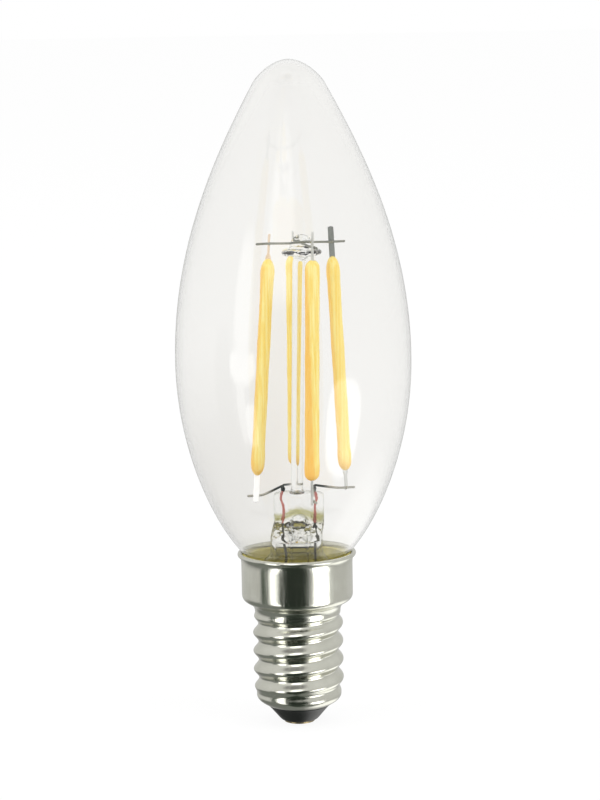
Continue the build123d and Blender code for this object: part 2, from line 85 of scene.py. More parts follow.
# Small sizes that several shapes share, in millimetres
COAT_ROOM = 0.05  # how far a CAD coat reaches past its filament's line
PRESS_CROWN = 0.7  # height of the press's rounded top
HOLLOW_DROP = 2.8  # from the foot of the press down to the top of the hollow
STEM_WALL = 0.8
EXHAUST_WALL = 0.5
BUTTON_HEIGHT = 3.1
ROD_SINK = 0.45  # how deep the rod is melted into the press
KNOT_RISE = 0.2  # how far over the press an arm is welded to its lead
CAP_CONE = 1.35  # height of the cone under the thread
SHOULDER_HEIGHT = 2.3
THREAD_RUN_IN = 2.2  # height over which the thread deepens above the cone
THREAD_RUN_OUT = 1.4  # height over which it fades out under the collar
LIP_RADIUS = 0.35
TAB_SINK = 0.9  # how far a tab reaches into its coat

# Soft patches that the metal and the glass mirror: the middle (round, up) and half
# size of each in degrees, how soft its edge is, and its level
MIRRORED = {
    "dark_front": ((-8.0, -14.0), (34.0, 27.0), 0.3, 0.025),
    "dark_left": ((-71.0, -14.0), (10.0, 16.0), 0.5, 0.11),
    "table_left": ((-105.0, -48.0), (52.0, 27.0), 0.5, 0.2),
    "table_right": ((125.0, -50.0), (40.0, 22.0), 0.7, 1.3),
    "box_right": ((52.0, -25.0), (18.5, 15.5), 0.15, 3.4),
    "dark_low": ((-9.0, -62.0), (33.0, 30.0), 0.4, 0.04),
    "dark_top": ((-36.0, 76.0), (56.0, 22.0), 0.4, 0.25),
    "box_left": ((-53.0, -18.0), (4.2, 11.0), 0.25, 2.0),
    "box_left_middle": ((-50.0, -8.0), (9.0, 3.5), 0.3, 2.2),
    "box_left_top": ((-50.0, -5.5), (13.0, 4.0), 0.3, 3.2),
    "box_left_tail": ((-44.0, -24.0), (6.0, 7.0), 0.3, 3.2),
    "strip_left": ((-50.0, 11.0), (9.0, 15.0), 0.6, 2.4),
    "box_top": ((-11.0, 32.0), (16.0, 19.0), 0.6, 2.4),
}


def box_heights(node):
    """The lowest and the highest point of a CAD node, in millimetres."""
    low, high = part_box(node)
    return float(low[2]) / MM, float(high[2]) / MM


def box_reach(node):
    """How far a CAD node reaches along X, in millimetres."""
    return float(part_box(node)[1][0]) / MM


METAL_LOW, RIM_TOP = box_heights("screw_shell")
SEAL_LOW, BULB_TOP = box_heights("glass_envelope")
BULB_RADIUS = box_reach("glass_envelope")
PRESS_TOP = box_heights("stem_flare")[1]
BUTTON_TOP = box_heights("center_rod")[1]
COAT_LOW, COAT_HIGH = box_heights("filament_coat_left")
FILAMENT_LOW = COAT_LOW + COAT_ROOM
FILAMENT_HIGH = COAT_HIGH - COAT_ROOM


# Shapes worked out with numpy


def bezier(points, count):
    """A cubic curve: (1-t)^3 p0 + 3(1-t)^2 t p1 + 3(1-t) t^2 p2 + t^3 p3."""
    p = np.array(points, float)
    t = np.linspace(0.0, 1.0, count)[:, None]
    return (
        (1 - t) ** 3 * p[0]
        + 3 * (1 - t) ** 2 * t * p[1]
        + 3 * (1 - t) * t**2 * p[2]
        + t**3 * p[3]
    )


def joined(*stretches):
    """Curves end to end, without the point that two neighbours share."""
    return np.vstack([stretches[0]] + [stretch[1:] for stretch in stretches[1:]])


def run(start, end, count):
    """Evenly spaced points from start to end."""
    t = np.linspace(0.0, 1.0, count)[:, None]
    return np.array(start, float) * (1 - t) + np.array(end, float) * t


def smooth_step(share):
    """3s^2 - 2s^3 with s held between 0 and 1."""
    held = np.clip(share, 0.0, 1.0)
    return held * held * (3 - 2 * held)


def full_turn(count):
    """Evenly spaced angles all the way round."""
    return np.linspace(0.0, 2 * np.pi, count, endpoint=False)


def squared(c, s, power):
    """(|cos|^n + |sin|^n)^(-1/n): 1 for a power n of 2, and squarer above it."""
    return (np.abs(c) ** power + np.abs(s) ** power) ** (-1 / power)


def quads(rows, columns, close_rows=False):
    """Four-sided faces between neighbours in a grid whose columns go all round."""
    row = np.arange(rows if close_rows else rows - 1)
    r, c = np.meshgrid(row, np.arange(columns), indexing="ij")
    r2, c2 = (r + 1) % rows, (c + 1) % columns
    faces = np.stack([r * columns + c, r * columns + c2, r2 * columns + c2, r2 * columns + c], -1)
    return faces.reshape(-1, 4)


def add_mesh(name, grids, material):
    """Builds one closed mesh from (points, close_rows) grids, in millimetres.

    Doubles at poles and seams are merged and the normals turned outwards.
    """
    points, faces, start = [], [], 0
    for grid, close_rows in grids:
        rows, columns = grid.shape[:2]
        points.append(grid.reshape(-1, 3))
        faces.append(quads(rows, columns, close_rows) + start)
        start += rows * columns
    mesh = bpy.data.meshes.new(name)
    mesh.from_pydata((np.vstack(points) * MM).tolist(), [], np.vstack(faces).tolist())
    work = bmesh.new()
    work.from_mesh(mesh)
    bmesh.ops.remove_doubles(work, verts=work.verts, dist=1e-7)
    bmesh.ops.dissolve_degenerate(work, edges=work.edges, dist=1e-8)
    bmesh.ops.recalc_face_normals(work, faces=work.faces)
    work.to_mesh(mesh)
    work.free()
    mesh.shade_smooth()
    mesh.materials.append(material)
    piece = bpy.data.objects.new(name, mesh)
    bpy.context.scene.collection.objects.link(piece)
    return piece


def dress(piece, nodes):
    """Lets a piece ride on the bulb in place of CAD nodes."""
    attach(piece, ROOT)
    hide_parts(*nodes)


def mark(piece, name, formula):
    """Stores a value at each point, worked out from all points in millimetres."""
    mesh = piece.data
    points = np.empty(len(mesh.vertices) * 3, np.float32)
    mesh.vertices.foreach_get("co", points)
    values = formula(points.reshape(-1, 3) / MM).astype(np.float32)
    mesh.attributes.new(name, "FLOAT", "POINT").data.foreach_set("value", values)


def lathe(profile, turns, centre=(0.0, 0.0)):
    """Each (radius, height) of a profile turned round an upright axis."""
    angle = full_turn(turns)
    radius = profile[:, 0][:, None]
    grid = np.empty((len(profile), turns, 3))
    grid[..., 0] = centre[0] + radius * np.cos(angle)
    grid[..., 1] = centre[1] + radius * np.sin(angle)
    grid[..., 2] = profile[:, 1][:, None]
    return grid


def frames_along(path, across):
    """Two unit vectors square to the path at each point.

    The first is the path's direction crossed with a fixed direction, and the
    second is the path's direction crossed with the first.
    """
    heading = np.gradient(path, axis=0)
    heading /= np.linalg.norm(heading, axis=1)[:, None]
    first = np.cross(heading, np.array(across, float))
    first /= np.linalg.norm(first, axis=1)[:, None]
    return first, np.cross(heading, first)


def tube(path, radii, across=(0.0, 1.0, 0.0), sides=16):
    """A ring of each radius round each point of a path, with rounded ends.

    A point is path + radius * (cos a * first + sin a * second). An end is 0.6
    of the radius long.
    """
    radii = np.broadcast_to(np.array(radii, float), (len(path),))
    end_rings, end_length = 5, 0.6
    rounding = np.linspace(0.0, np.pi / 2, end_rings)
    ends = []
    for last, before in ((0, 1), (-1, -2)):
        step = path[last] - path[before]
        step = step / np.linalg.norm(step)
        centres = path[last] + step * radii[last] * end_length * np.sin(rounding)[:, None]
        ends.append((centres, radii[last] * np.cos(rounding)))
    (low_centres, low_sizes), (high_centres, high_sizes) = ends
    centres = np.vstack([low_centres[::-1], path[1:-1], high_centres])
    sizes = np.concatenate([low_sizes[::-1], radii[1:-1], high_sizes])
    first, second = (
        np.vstack([np.repeat(side[:1], end_rings, 0), side[1:-1], np.repeat(side[-1:], end_rings, 0)])
        for side in frames_along(path, across)
    )
    c, s = np.cos(full_turn(sides)), np.sin(full_turn(sides))
    ring = first[:, None] * c[None, :, None] + second[:, None] * s[None, :, None]
    return centres[:, None] + ring * sizes[:, None, None]


def bead(centre, size, sides=20, rows=12):
    """A round drop: an ellipsoid with the three half sizes given."""
    up = np.linspace(-np.pi / 2, np.pi / 2, rows)[:, None]
    angle = full_turn(sides)[None, :]
    x = centre[0] + size[0] * np.cos(up) * np.cos(angle)
    y = centre[1] + size[1] * np.cos(up) * np.sin(angle)
    z = centre[2] + size[2] * np.sin(up) * np.ones_like(angle)
    return np.stack([x, y, z], -1)


def soft_corners(points, bend, per_bend=9, per_run=10):
    """A path of straight runs whose corners are quadratic curves."""
    p = np.array(points, float)
    stretches, last = [], p[0]
    for before, corner, after in zip(p[:-2], p[1:-1], p[2:]):
        into = (corner - before) / np.linalg.norm(corner - before)
        out = (after - corner) / np.linalg.norm(after - corner)
        reach = min(bend, 0.45 * np.linalg.norm(corner - before), 0.45 * np.linalg.norm(after - corner))
        start, finish = corner - into * reach, corner + out * reach
        t = np.linspace(0.0, 1.0, per_bend)[:, None]
        stretches.append(run(last, start, per_run))
        stretches.append((1 - t) ** 2 * start + 2 * (1 - t) * t * corner + t**2 * finish)
        last = finish
    stretches.append(run(last, p[-1], per_run))
    return joined(*stretches)


# The sizes that the filaments, wires and tabs share


def outward(name):
    """The level direction from the rod towards a filament."""
    angle = np.radians((FOOT_ANGLE[name] + HEAD_ANGLE[name]) / 2)
    return np.array([np.cos(angle), np.sin(angle), 0.0])


def filament_ends(name):
    """The middle of a filament's lower end and of its upper end."""
    mount = bpy.context.scene.bulb_filament
    ends = []
    for centre, radius, angle, height in (
        (mount.foot_centre, mount.foot_radius, FOOT_ANGLE[name], FILAMENT_LOW),
        (mount.head_centre, mount.head_radius, HEAD_ANGLE[name], FILAMENT_HIGH),
    ):
        turn = np.radians(angle)
        x, y = centre / MM + radius / MM * np.cos(turn), radius / MM * np.sin(turn)
        ends.append(np.array([x, y, height]))
    return ends


def by_filament(name, out, side, height):
    """A point on a filament's line at a height, moved outwards and sideways."""
    foot, head = filament_ends(name)
    share = (height - FILAMENT_LOW) / (FILAMENT_HIGH - FILAMENT_LOW)
    away = outward(name)
    sideways = np.array([-away[1], away[0], 0.0])
    return foot + (head - foot) * share + away * out + sideways * side


def lead_x(side):
    """How far from the axis a lead passes through the press."""
    stem = bpy.context.scene.bulb_stem
    return (stem.press_offset + side * stem.lead_spacing / 2) / MM


# Effects that several materials share


def new_group(name, inputs, outputs):
    """An empty shader node group with typed, named inputs and outputs."""
    group = bpy.data.node_groups.new(name, "ShaderNodeTree")
    for label, kind, value in inputs:
        socket = group.interface.new_socket(label, in_out="INPUT", socket_type=kind)
        socket.default_value = value
    for label, kind in outputs:
        group.interface.new_socket(label, in_out="OUTPUT", socket_type=kind)
    return group, group.nodes.new("NodeGroupInput"), group.nodes.new("NodeGroupOutput")


def feed(tree, value, socket):
    """Links a socket to another one, or writes a plain number or colour there."""
    if isinstance(value, bpy.types.NodeSocket):
        tree.links.new(value, socket)
    else:
        socket.default_value = value


def calculated(tree, operation, first, second):
    """The sum, product, power or larger one of two values."""
    node = tree.nodes.new("ShaderNodeMath")
    node.operation = operation
    feed(tree, first, node.inputs[0])
    feed(tree, second, node.inputs[1])
    return node.outputs[0]


def stretched(tree, value, ends):
    """A value moved from one range to another. Each is 0 to 1 unless ends changes it."""
    node = tree.nodes.new("ShaderNodeMapRange")
    tree.links.new(value, node.inputs["Value"])
    for label, end in ends.items():
        feed(tree, end, node.inputs[label])
    return node.outputs["Result"]


def noise(tree, place, scale, detail):
    """Noise from 0 to 1 at a place."""
    node = tree.nodes.new("ShaderNodeTexNoise")
    node.inputs["Detail"].default_value = detail
    tree.links.new(place, node.inputs["Vector"])
    feed(tree, scale, node.inputs["Scale"])
    return node.outputs["Fac"]


def colour_mix(tree, share, first, second):
    """A colour between two colours or sockets, by a share from 0 to 1."""
    mix = tree.nodes.new("ShaderNodeMix")
    mix.data_type = "RGBA"
    tree.links.new(share, mix.inputs["Factor"])
    feed(tree, first, mix.inputs["A"])
    feed(tree, second, mix.inputs["B"])
    return mix.outputs["Result"]


def mottle_group():
    """Slow cloudy change between two colours, with a mask and fine grain."""
    inputs = [
        ("Colour", "NodeSocketColor", (0.8, 0.8, 0.8, 1.0)),
        ("Other Colour", "NodeSocketColor", (0.5, 0.5, 0.5, 1.0)),
        ("Cloud Scale", "NodeSocketFloat", 300.0),
        ("Grain Scale", "NodeSocketFloat", 4000.0),
        ("Amount", "NodeSocketFloat", 0.5),
    ]
    outputs = [("Colour", "NodeSocketColor"), ("Mask", "NodeSocketFloat"), ("Grain", "NodeSocketFloat")]
    group, start, end = new_group("mottle", inputs, outputs)
    place = group.nodes.new("ShaderNodeTexCoord").outputs["Object"]
    cloud = noise(group, place, start.outputs["Cloud Scale"], 4.0)
    cloud = stretched(group, cloud, {"From Min": 0.38, "From Max": 0.62})
    mask = calculated(group, "MULTIPLY", cloud, start.outputs["Amount"])
    colour = colour_mix(group, mask, start.outputs["Colour"], start.outputs["Other Colour"])
    group.links.new(colour, end.inputs["Colour"])
    group.links.new(mask, end.inputs["Mask"])
    group.links.new(noise(group, place, start.outputs["Grain Scale"], 2.0), end.inputs["Grain"])
    return group


def streak_group():
    """Fine streaks along the upright axis, as drawn wire and sheet have."""
    inputs = [
        ("Across Scale", "NodeSocketFloat", 2500.0),
        ("Along Scale", "NodeSocketFloat", 120.0),
        ("Low", "NodeSocketFloat", 0.1),
        ("High", "NodeSocketFloat", 0.3),
    ]
    outputs = [("Value", "NodeSocketFloat"), ("Streak", "NodeSocketFloat")]
    group, start, end = new_group("streaks", inputs, outputs)
    place = group.nodes.new("ShaderNodeTexCoord").outputs["Object"]
    split = group.nodes.new("ShaderNodeSeparateXYZ")
    group.links.new(place, split.inputs[0])
    join = group.nodes.new("ShaderNodeCombineXYZ")
    for label, scale in (("X", "Across Scale"), ("Y", "Across Scale"), ("Z", "Along Scale")):
        scaled = calculated(group, "MULTIPLY", split.outputs[label], start.outputs[scale])
        group.links.new(scaled, join.inputs[label])
    streak = noise(group, join.outputs[0], 1.0, 3.0)
    low, high = start.outputs["Low"], start.outputs["High"]
    value = stretched(group, streak, {"From Min": 0.3, "From Max": 0.7, "To Min": low, "To Max": high})
    group.links.new(value, end.inputs["Value"])
    group.links.new(streak, end.inputs["Streak"])
    return group


def group_node(tree, name, values):
    """Places a shared effect in a material's tree with its own values."""
    makers = {"mottle": mottle_group, "streaks": streak_group}
    group = bpy.data.node_groups.get(name) or makers[name]()
    node = tree.nodes.new("ShaderNodeGroup")
    node.node_tree = group
    for label, value in values.items():
        node.inputs[label].default_value = value
    return node


def new_material(name):
    """A material with one Principled shader, which is returned with it."""
    material = bpy.data.materials.new("bulb_" + name)
    material.use_nodes = True
    return material, material.node_tree.nodes["Principled BSDF"]


def add_bump(tree, shader, height, strength, distance):
    """Lets a height value raise the shader's surface a little."""
    node = tree.nodes.new("ShaderNodeBump")
    node.inputs["Strength"].default_value = strength
    node.inputs["Distance"].default_value = distance
    tree.links.new(height, node.inputs["Height"])
    tree.links.new(node.outputs["Normal"], shader.inputs["Normal"])
    return node


def rgba(colour):
    """A colour of three numbers with full alpha."""
    return (colour[0], colour[1], colour[2], 1.0)


# Materials


# Clear glass: its colour seen edge on, how narrow that edge is, refraction, unevenness
GLASSES = {
    "blown_glass": ((0.88, 0.88, 0.87), 5.0, 1.5, 0.0),
    "rod_glass": ((0.68, 0.71, 0.69), 2.2, 1.5, 0.3),
    "stem_glass": ((0.42, 0.45, 0.41), 2.0, 1.2, 1.5),
    "button_glass": ((0.7, 0.75, 0.7), 2.4, 1.12, 0.8),
}

# Bare metals: colour, duller colour, lowest and highest roughness, amount of the duller colour
METALS = {
    "dark_wire": ((0.1, 0.1, 0.08), (0.05, 0.05, 0.04), 0.3, 0.45, 0.4),
    "upper_wire": ((0.36, 0.36, 0.31), (0.15, 0.16, 0.13), 0.28, 0.42, 0.7),
    "plated_tab": ((0.8, 0.81, 0.79), (0.5, 0.52, 0.5), 0.3, 0.45, 0.5),
    "grey_tab": ((0.29, 0.31, 0.29), (0.2, 0.21, 0.2), 0.35, 0.5, 0.4),
    "brass_plate": ((0.4, 0.32, 0.18), (0.25, 0.2, 0.12), 0.3, 0.45, 0.4),
    "solder": ((0.7, 0.7, 0.71), (0.5, 0.5, 0.52), 0.22, 0.4, 0.4),
}

# Dry and moulded surfaces: colour, cloud colour, roughness, amount of cloud, strength of grain
MATTS = {
    "cream_tab": ((0.84, 0.68, 0.5), (0.6, 0.42, 0.28), 0.35, 0.5, 0.2),
    "red_seal_wire": ((0.56, 0.19, 0.16), (0.36, 0.09, 0.08), 0.3, 0.6, 0.2),
    "black_glass": ((0.004, 0.006, 0.005), (0.008, 0.011, 0.009), 0.3, 0.4, 0.08),
    "board_laminate": ((0.06, 0.22, 0.08), (0.1, 0.3, 0.12), 0.35, 0.5, 0.2),
    "moulded_case": ((0.02, 0.02, 0.022), (0.04, 0.04, 0.04), 0.45, 0.6, 0.3),
    "pale_ceramic": ((0.8, 0.79, 0.74), (0.7, 0.68, 0.62), 0.55, 0.6, 0.3),
    "chip_crystal": ((0.35, 0.45, 0.6), (0.5, 0.5, 0.3), 0.15, 0.6, 0.1),
}

# The colour of the painted shade in the clear glass
PAINTED_SHADE_COLOUR = (0.7, 0.68, 0.65, 1.0)
CEMENT_GLOW = (0.38, 0.36, 0.1, 1.0)


def attribute_value(tree, name):
    """The value that a piece stores at its points under a name."""
    node = tree.nodes.new("ShaderNodeAttribute")
    node.attribute_name = name
    return node.outputs["Fac"]


def either_ray(tree, first, second):
    """1 for two kinds of ray and 0 for the others."""
    path = tree.nodes.new("ShaderNodeLightPath")
    return calculated(tree, "MAXIMUM", path.outputs[first], path.outputs[second])


def show_instead(tree, shader, other, share):
    """Shows another shader in place of the first, by a share from 0 to 1."""
    mix = tree.nodes.new("ShaderNodeMixShader")
    tree.links.new(share, mix.inputs[0])
    tree.links.new(shader.outputs[0], mix.inputs[1])
    tree.links.new(other.outputs[0], mix.inputs[2])
    tree.links.new(mix.outputs[0], tree.nodes["Material Output"].inputs["Surface"])


def glass_material(name, tint, edge, sharpness, bend, crumple):
    """Clear glass, greyer where it is seen edge on, which lets lamps through.

    The attribute "crumple" says where its surface is uneven, "cement" where
    the lamp cement behind it shows in its colour, and the painted shade attribute where it is painted grey.
    """
    material, shader = new_material(name)
    tree = material.node_tree
    shader.inputs["Roughness"].default_value = 0.0
    shader.inputs["IOR"].default_value = bend
    shader.inputs["Transmission Weight"].default_value = 1.0
    facing = tree.nodes.new("ShaderNodeLayerWeight")
    facing.inputs["Blend"].default_value = 0.5
    edge_on = calculated(tree, "POWER", facing.outputs["Facing"], sharpness)
    # Painted shade greys the glass where its attribute is set
    body = colour_mix(tree, attribute_value(tree, "painted_shade"), rgba(tint), PAINTED_SHADE_COLOUR)
    body = colour_mix(tree, attribute_value(tree, "cement"), body, CEMENT_GLOW)
    tree.links.new(colour_mix(tree, edge_on, body, rgba(edge)), shader.inputs["Base Color"])
    effect = group_node(tree, "mottle", {"Cloud Scale": 60.0, "Grain Scale": 520.0})
    bump = add_bump(tree, shader, effect.outputs["Grain"], 0.0, 0.0012)
    tree.links.new(bump.outputs["Normal"], facing.inputs["Normal"])
    uneven = calculated(tree, "MULTIPLY", attribute_value(tree, "crumple"), crumple)
    tree.links.new(uneven, bump.inputs["Strength"])
    clear = tree.nodes.new("ShaderNodeBsdfTransparent")
    clear.inputs["Color"].default_value = (0.99, 0.99, 0.99, 1.0)
    show_instead(tree, shader, clear, either_ray(tree, "Is Shadow Ray", "Is Diffuse Ray"))
    return material


def metal_material(name, colour, other, low, high, amount, bump=0.05):
    """Bare or plated metal with drawn streaks and a slight cloud of tarnish."""
    material, shader = new_material(name)
    tree = material.node_tree
    colours = {"Colour": rgba(colour), "Other Colour": rgba(other)}
    cloud = group_node(tree, "mottle", {**colours, "Cloud Scale": 260.0, "Amount": amount})
    streaks = group_node(tree, "streaks", {"Low": low, "High": high})
    shader.inputs["Metallic"].default_value = 1.0
    tree.links.new(cloud.outputs["Colour"], shader.inputs["Base Color"])
    tree.links.new(streaks.outputs["Value"], shader.inputs["Roughness"])
    relief = calculated(tree, "ADD", streaks.outputs["Streak"], cloud.outputs["Grain"])
    add_bump(tree, shader, relief, bump, 0.00005)
    return material


def matt_material(name, colour, other, roughness, amount, bump):
    """A dry or moulded surface: clouds of a second colour and a fine grain."""
    material, shader = new_material(name)
    tree = material.node_tree
    colours = {"Colour": rgba(colour), "Other Colour": rgba(other), "Amount": amount}
    effect = group_node(tree, "mottle", {**colours, "Cloud Scale": 400.0, "Grain Scale": 5000.0})
    rough = stretched(
        tree, effect.outputs["Mask"], {"To Min": roughness, "To Max": min(1.0, roughness + 0.2)}
    )
    tree.links.new(rough, shader.inputs["Roughness"])
    tree.links.new(effect.outputs["Colour"], shader.inputs["Base Color"])
    add_bump(tree, shader, effect.outputs["Grain"], bump, 0.00004)
    return material


def painted_glint_material(name):
    """A tab with a painted glint: matt near white, with a faint glow of its own that stands in for a lamp's
    glint on it.
    """
    material = matt_material(name, (0.97, 0.97, 0.96), (0.92, 0.92, 0.91), 0.35, 0.3, 0.1)
    shader = material.node_tree.nodes["Principled BSDF"]
    # The glow is a painted glint, not a lamp
    shader.inputs["Emission Color"].default_value = (1.0, 1.0, 1.0, 1.0)
    shader.inputs["Emission Strength"].default_value = 0.2
    return material


def arm_material(name, dark, clean):
    """Wire burnt dark where it is welded to its lead and cleaner further out."""
    material = metal_material(name, clean, clean, 0.25, 0.4, 0.4)
    tree = material.node_tree
    shader = tree.nodes["Principled BSDF"]
    plain = shader.inputs["Base Color"].links[0].from_socket
    mixed = colour_mix(tree, attribute_value(tree, "clean"), rgba(dark), plain)
    tree.links.new(mixed, shader.inputs["Base Color"])
    return material


def silicone_material(name, colour, pale, edge):
    """Yellow silicone with phosphor: paler along its faces, streaked and glossy.

    The attribute "face" is 1 over the chips and 0 on the edges and ends.
    """
    material, shader = new_material(name)
    tree = material.node_tree
    wide_streaks = {"Across Scale": 3800.0, "Along Scale": 22.0, "Low": -0.3, "High": 1.2}
    streaks = group_node(tree, "streaks", wide_streaks)
    face = attribute_value(tree, "face")
    body = colour_mix(tree, face, rgba(edge), rgba(colour))
    share = calculated(tree, "MULTIPLY", streaks.outputs["Value"], face)
    tree.links.new(colour_mix(tree, share, body, rgba(pale)), shader.inputs["Base Color"])
    grain = group_node(tree, "mottle", {"Cloud Scale": 500.0, "Grain Scale": 1400.0})
    rough = stretched(tree, grain.outputs["Grain"], {"To Min": 0.12, "To Max": 0.28})
    tree.links.new(rough, shader.inputs["Roughness"])
    add_bump(tree, shader, grain.outputs["Grain"], 0.3, 0.0002)
    return material


def material_named(name):
    """The bulb's finishes by name, each made once."""
    made = bpy.data.materials.get("bulb_" + name)
    if made:
        return made
    scene = bpy.context.scene
    glass, cap, mount = scene.bulb_glass, scene.bulb_cap, scene.bulb_filament
    if name in GLASSES:
        tint = glass.tint if name == "blown_glass" else glass.stem_tint
        return glass_material(name, tint, *GLASSES[name])
    if name in METALS:
        return metal_material(name, *METALS[name])
    if name in MATTS:
        return matt_material(name, *MATTS[name])
    if name == "nickel_plate":
        return metal_material(name, cap.metal, cap.tarnish, 0.13, 0.24, 0.5, 0.16)
    if name == "arm_wire":
        return arm_material(name, (0.03, 0.04, 0.04), (0.5, 0.49, 0.44))
    # The tab with the painted glint
    if name == "painted_glint_tab":
        return painted_glint_material(name)
    if name == "lamp_cement":
        return matt_material(name, cap.cement, (0.5, 0.44, 0.11), 0.7, 0.6, 0.5)
    if name == "yellow_silicone":
        return silicone_material(name, mount.coat, mount.coat_streak, mount.coat_edge)
    raise KeyError("no finish is called " + name)


# Sizes and colours that a user would change


class BulbGlassSettings(bpy.types.PropertyGroup):
    """Sizes and tint of the blown glass."""

    wall: bpy.props.FloatProperty(
        name="Wall", description="Thickness of the glass", default=0.5 * MM, unit="LENGTH"
    )
    widest: bpy.props.FloatProperty(
        name="Widest Height", description="Height of the widest ring above the tip",
        default=55.6 * MM, unit="LENGTH",
    )
    nose_radius: bpy.props.FloatProperty(
        name="Nose Radius", description="Radius where the nose begins", default=5.3 * MM, unit="LENGTH"
    )
    nose_drop: bpy.props.FloatProperty(
        name="Nose Drop", description="How far the nose begins under the top",
        default=3.4 * MM, unit="LENGTH",
    )
    neck_radius: bpy.props.FloatProperty(
        name="Neck Radius", description="Outer radius of the neck in the cap",
        default=7.75 * MM, unit="LENGTH",
    )
    neck_below_rim: bpy.props.FloatProperty(
        name="Neck Below Rim", description="How far the neck begins under the cap's rim",
        default=0.5 * MM, unit="LENGTH",
    )
    tint: bpy.props.FloatVectorProperty(
        name="Tint", description="Colour of the blown glass",
        default=(0.963, 0.96, 0.948), subtype="COLOR", size=3,
    )
    stem_tint: bpy.props.FloatVectorProperty(
        name="Stem Tint", description="Colour of the thick glass of the stem",
        default=(0.985, 0.986, 0.98), subtype="COLOR", size=3,
    )


class BulbStemSettings(bpy.types.PropertyGroup):
    """Sizes of the glass stem."""

    tube_radius: bpy.props.FloatProperty(
        name="Tube Radius", description="Radius of the flare's tube", default=3.95 * MM, unit="LENGTH"
    )
    flare_height: bpy.props.FloatProperty(
        name="Flare Height", description="Height of the trumpet", default=4.0 * MM, unit="LENGTH"
    )
    press_width: bpy.props.FloatProperty(
        name="Press Width", description="Width of the flat press", default=7.6 * MM, unit="LENGTH"
    )
    press_depth: bpy.props.FloatProperty(
        name="Press Depth", description="Thickness of the flat press", default=3.0 * MM, unit="LENGTH"
    )
    press_height: bpy.props.FloatProperty(
        name="Press Height", description="Height of the flat press", default=4.3 * MM, unit="LENGTH"
    )
    press_offset: bpy.props.FloatProperty(
        name="Press Offset", description="How far the press stands off the axis",
        default=0.45 * MM, unit="LENGTH",
    )
    lead_spacing: bpy.props.FloatProperty(
        name="Lead Spacing", description="Distance between the two leads", default=4.7 * MM, unit="LENGTH"
    )
    rod_radius: bpy.props.FloatProperty(
        name="Rod Radius", description="Radius of the rod", default=0.92 * MM, unit="LENGTH"
    )
    rod_foot: bpy.props.FloatProperty(
        name="Rod Foot", description="Shift of the rod's foot along X", default=0.2 * MM, unit="LENGTH"
    )
    rod_head: bpy.props.FloatProperty(
        name="Rod Head", description="Shift of the rod's head along X", default=1.05 * MM, unit="LENGTH"
    )
    button: bpy.props.FloatProperty(
        name="Button", description="Shift of the button along X", default=1.45 * MM, unit="LENGTH"
    )
    exhaust_radius: bpy.props.FloatProperty(
        name="Exhaust Radius", description="Radius of the exhaust tube", default=1.7 * MM, unit="LENGTH"
    )


class BulbFilamentSettings(bpy.types.PropertyGroup):
    """Sizes and colours of the four filaments and their tabs."""

    foot_centre: bpy.props.FloatProperty(
        name="Foot Centre", description="Shift of the lower ends' ring along X",
        default=0.93 * MM, unit="LENGTH",
    )
    head_centre: bpy.props.FloatProperty(
        name="Head Centre", description="Shift of the upper ends' ring along X",
        default=1.31 * MM, unit="LENGTH",
    )
    foot_radius: bpy.props.FloatProperty(
        name="Foot Radius", description="Distance of the lower ends from the middle",
        default=6.82 * MM, unit="LENGTH",
    )
    head_radius: bpy.props.FloatProperty(
        name="Head Radius", description="Distance of the upper ends from the middle",
        default=4.9 * MM, unit="LENGTH",
    )
    coat_radius: bpy.props.FloatProperty(
        name="Coat Radius", description="Radius of the silicone", default=1.0 * MM, unit="LENGTH"
    )
    tab_width: bpy.props.FloatProperty(
        name="Tab Width", description="Width of a tab", default=0.85 * MM, unit="LENGTH"
    )
    tab_thick: bpy.props.FloatProperty(
        name="Tab Thickness", description="Thickness of a tab", default=0.2 * MM, unit="LENGTH"
    )
    coat: bpy.props.FloatVectorProperty(
        name="Silicone", description="Colour of the silicone",
        default=(0.93, 0.67, 0.12), subtype="COLOR", size=3,
    )
    coat_streak: bpy.props.FloatVectorProperty(
        name="Streaks", description="Colour of the paler streaks",
        default=(0.97, 0.84, 0.3), subtype="COLOR", size=3,
    )
    coat_edge: bpy.props.FloatVectorProperty(
        name="Edges", description="Colour of the silicone along its edges and ends",
        default=(0.93, 0.48, 0.06), subtype="COLOR", size=3,
    )


class BulbWireSettings(bpy.types.PropertyGroup):
    """Sizes of the wires."""

    arm_radius: bpy.props.FloatProperty(
        name="Arm Radius", description="Radius of the lower arms", default=0.18 * MM, unit="LENGTH"
    )
    support_radius: bpy.props.FloatProperty(
        name="Support Radius", description="Radius of the upper wires", default=0.175 * MM, unit="LENGTH"
    )
    seal_radius: bpy.props.FloatProperty(
        name="Seal Radius", description="Radius of the red wires", default=0.22 * MM, unit="LENGTH"
    )
    side_rise: bpy.props.FloatProperty(
        name="Side Wire Rise", description="Height of the side wire over the filaments",
        default=2.2 * MM, unit="LENGTH",
    )
    cross_drop: bpy.props.FloatProperty(
        name="Cross Wire Drop", description="How far the cross wire lies under the side wire",
        default=0.42 * MM, unit="LENGTH",
    )
    overrun: bpy.props.FloatProperty(
        name="Overrun", description="How far an arm goes past its tab", default=1.2 * MM, unit="LENGTH"
    )
    side_overrun: bpy.props.FloatProperty(
        name="Side Overrun", description="How far the side wire goes past its tabs",
        default=1.95 * MM, unit="LENGTH",
    )


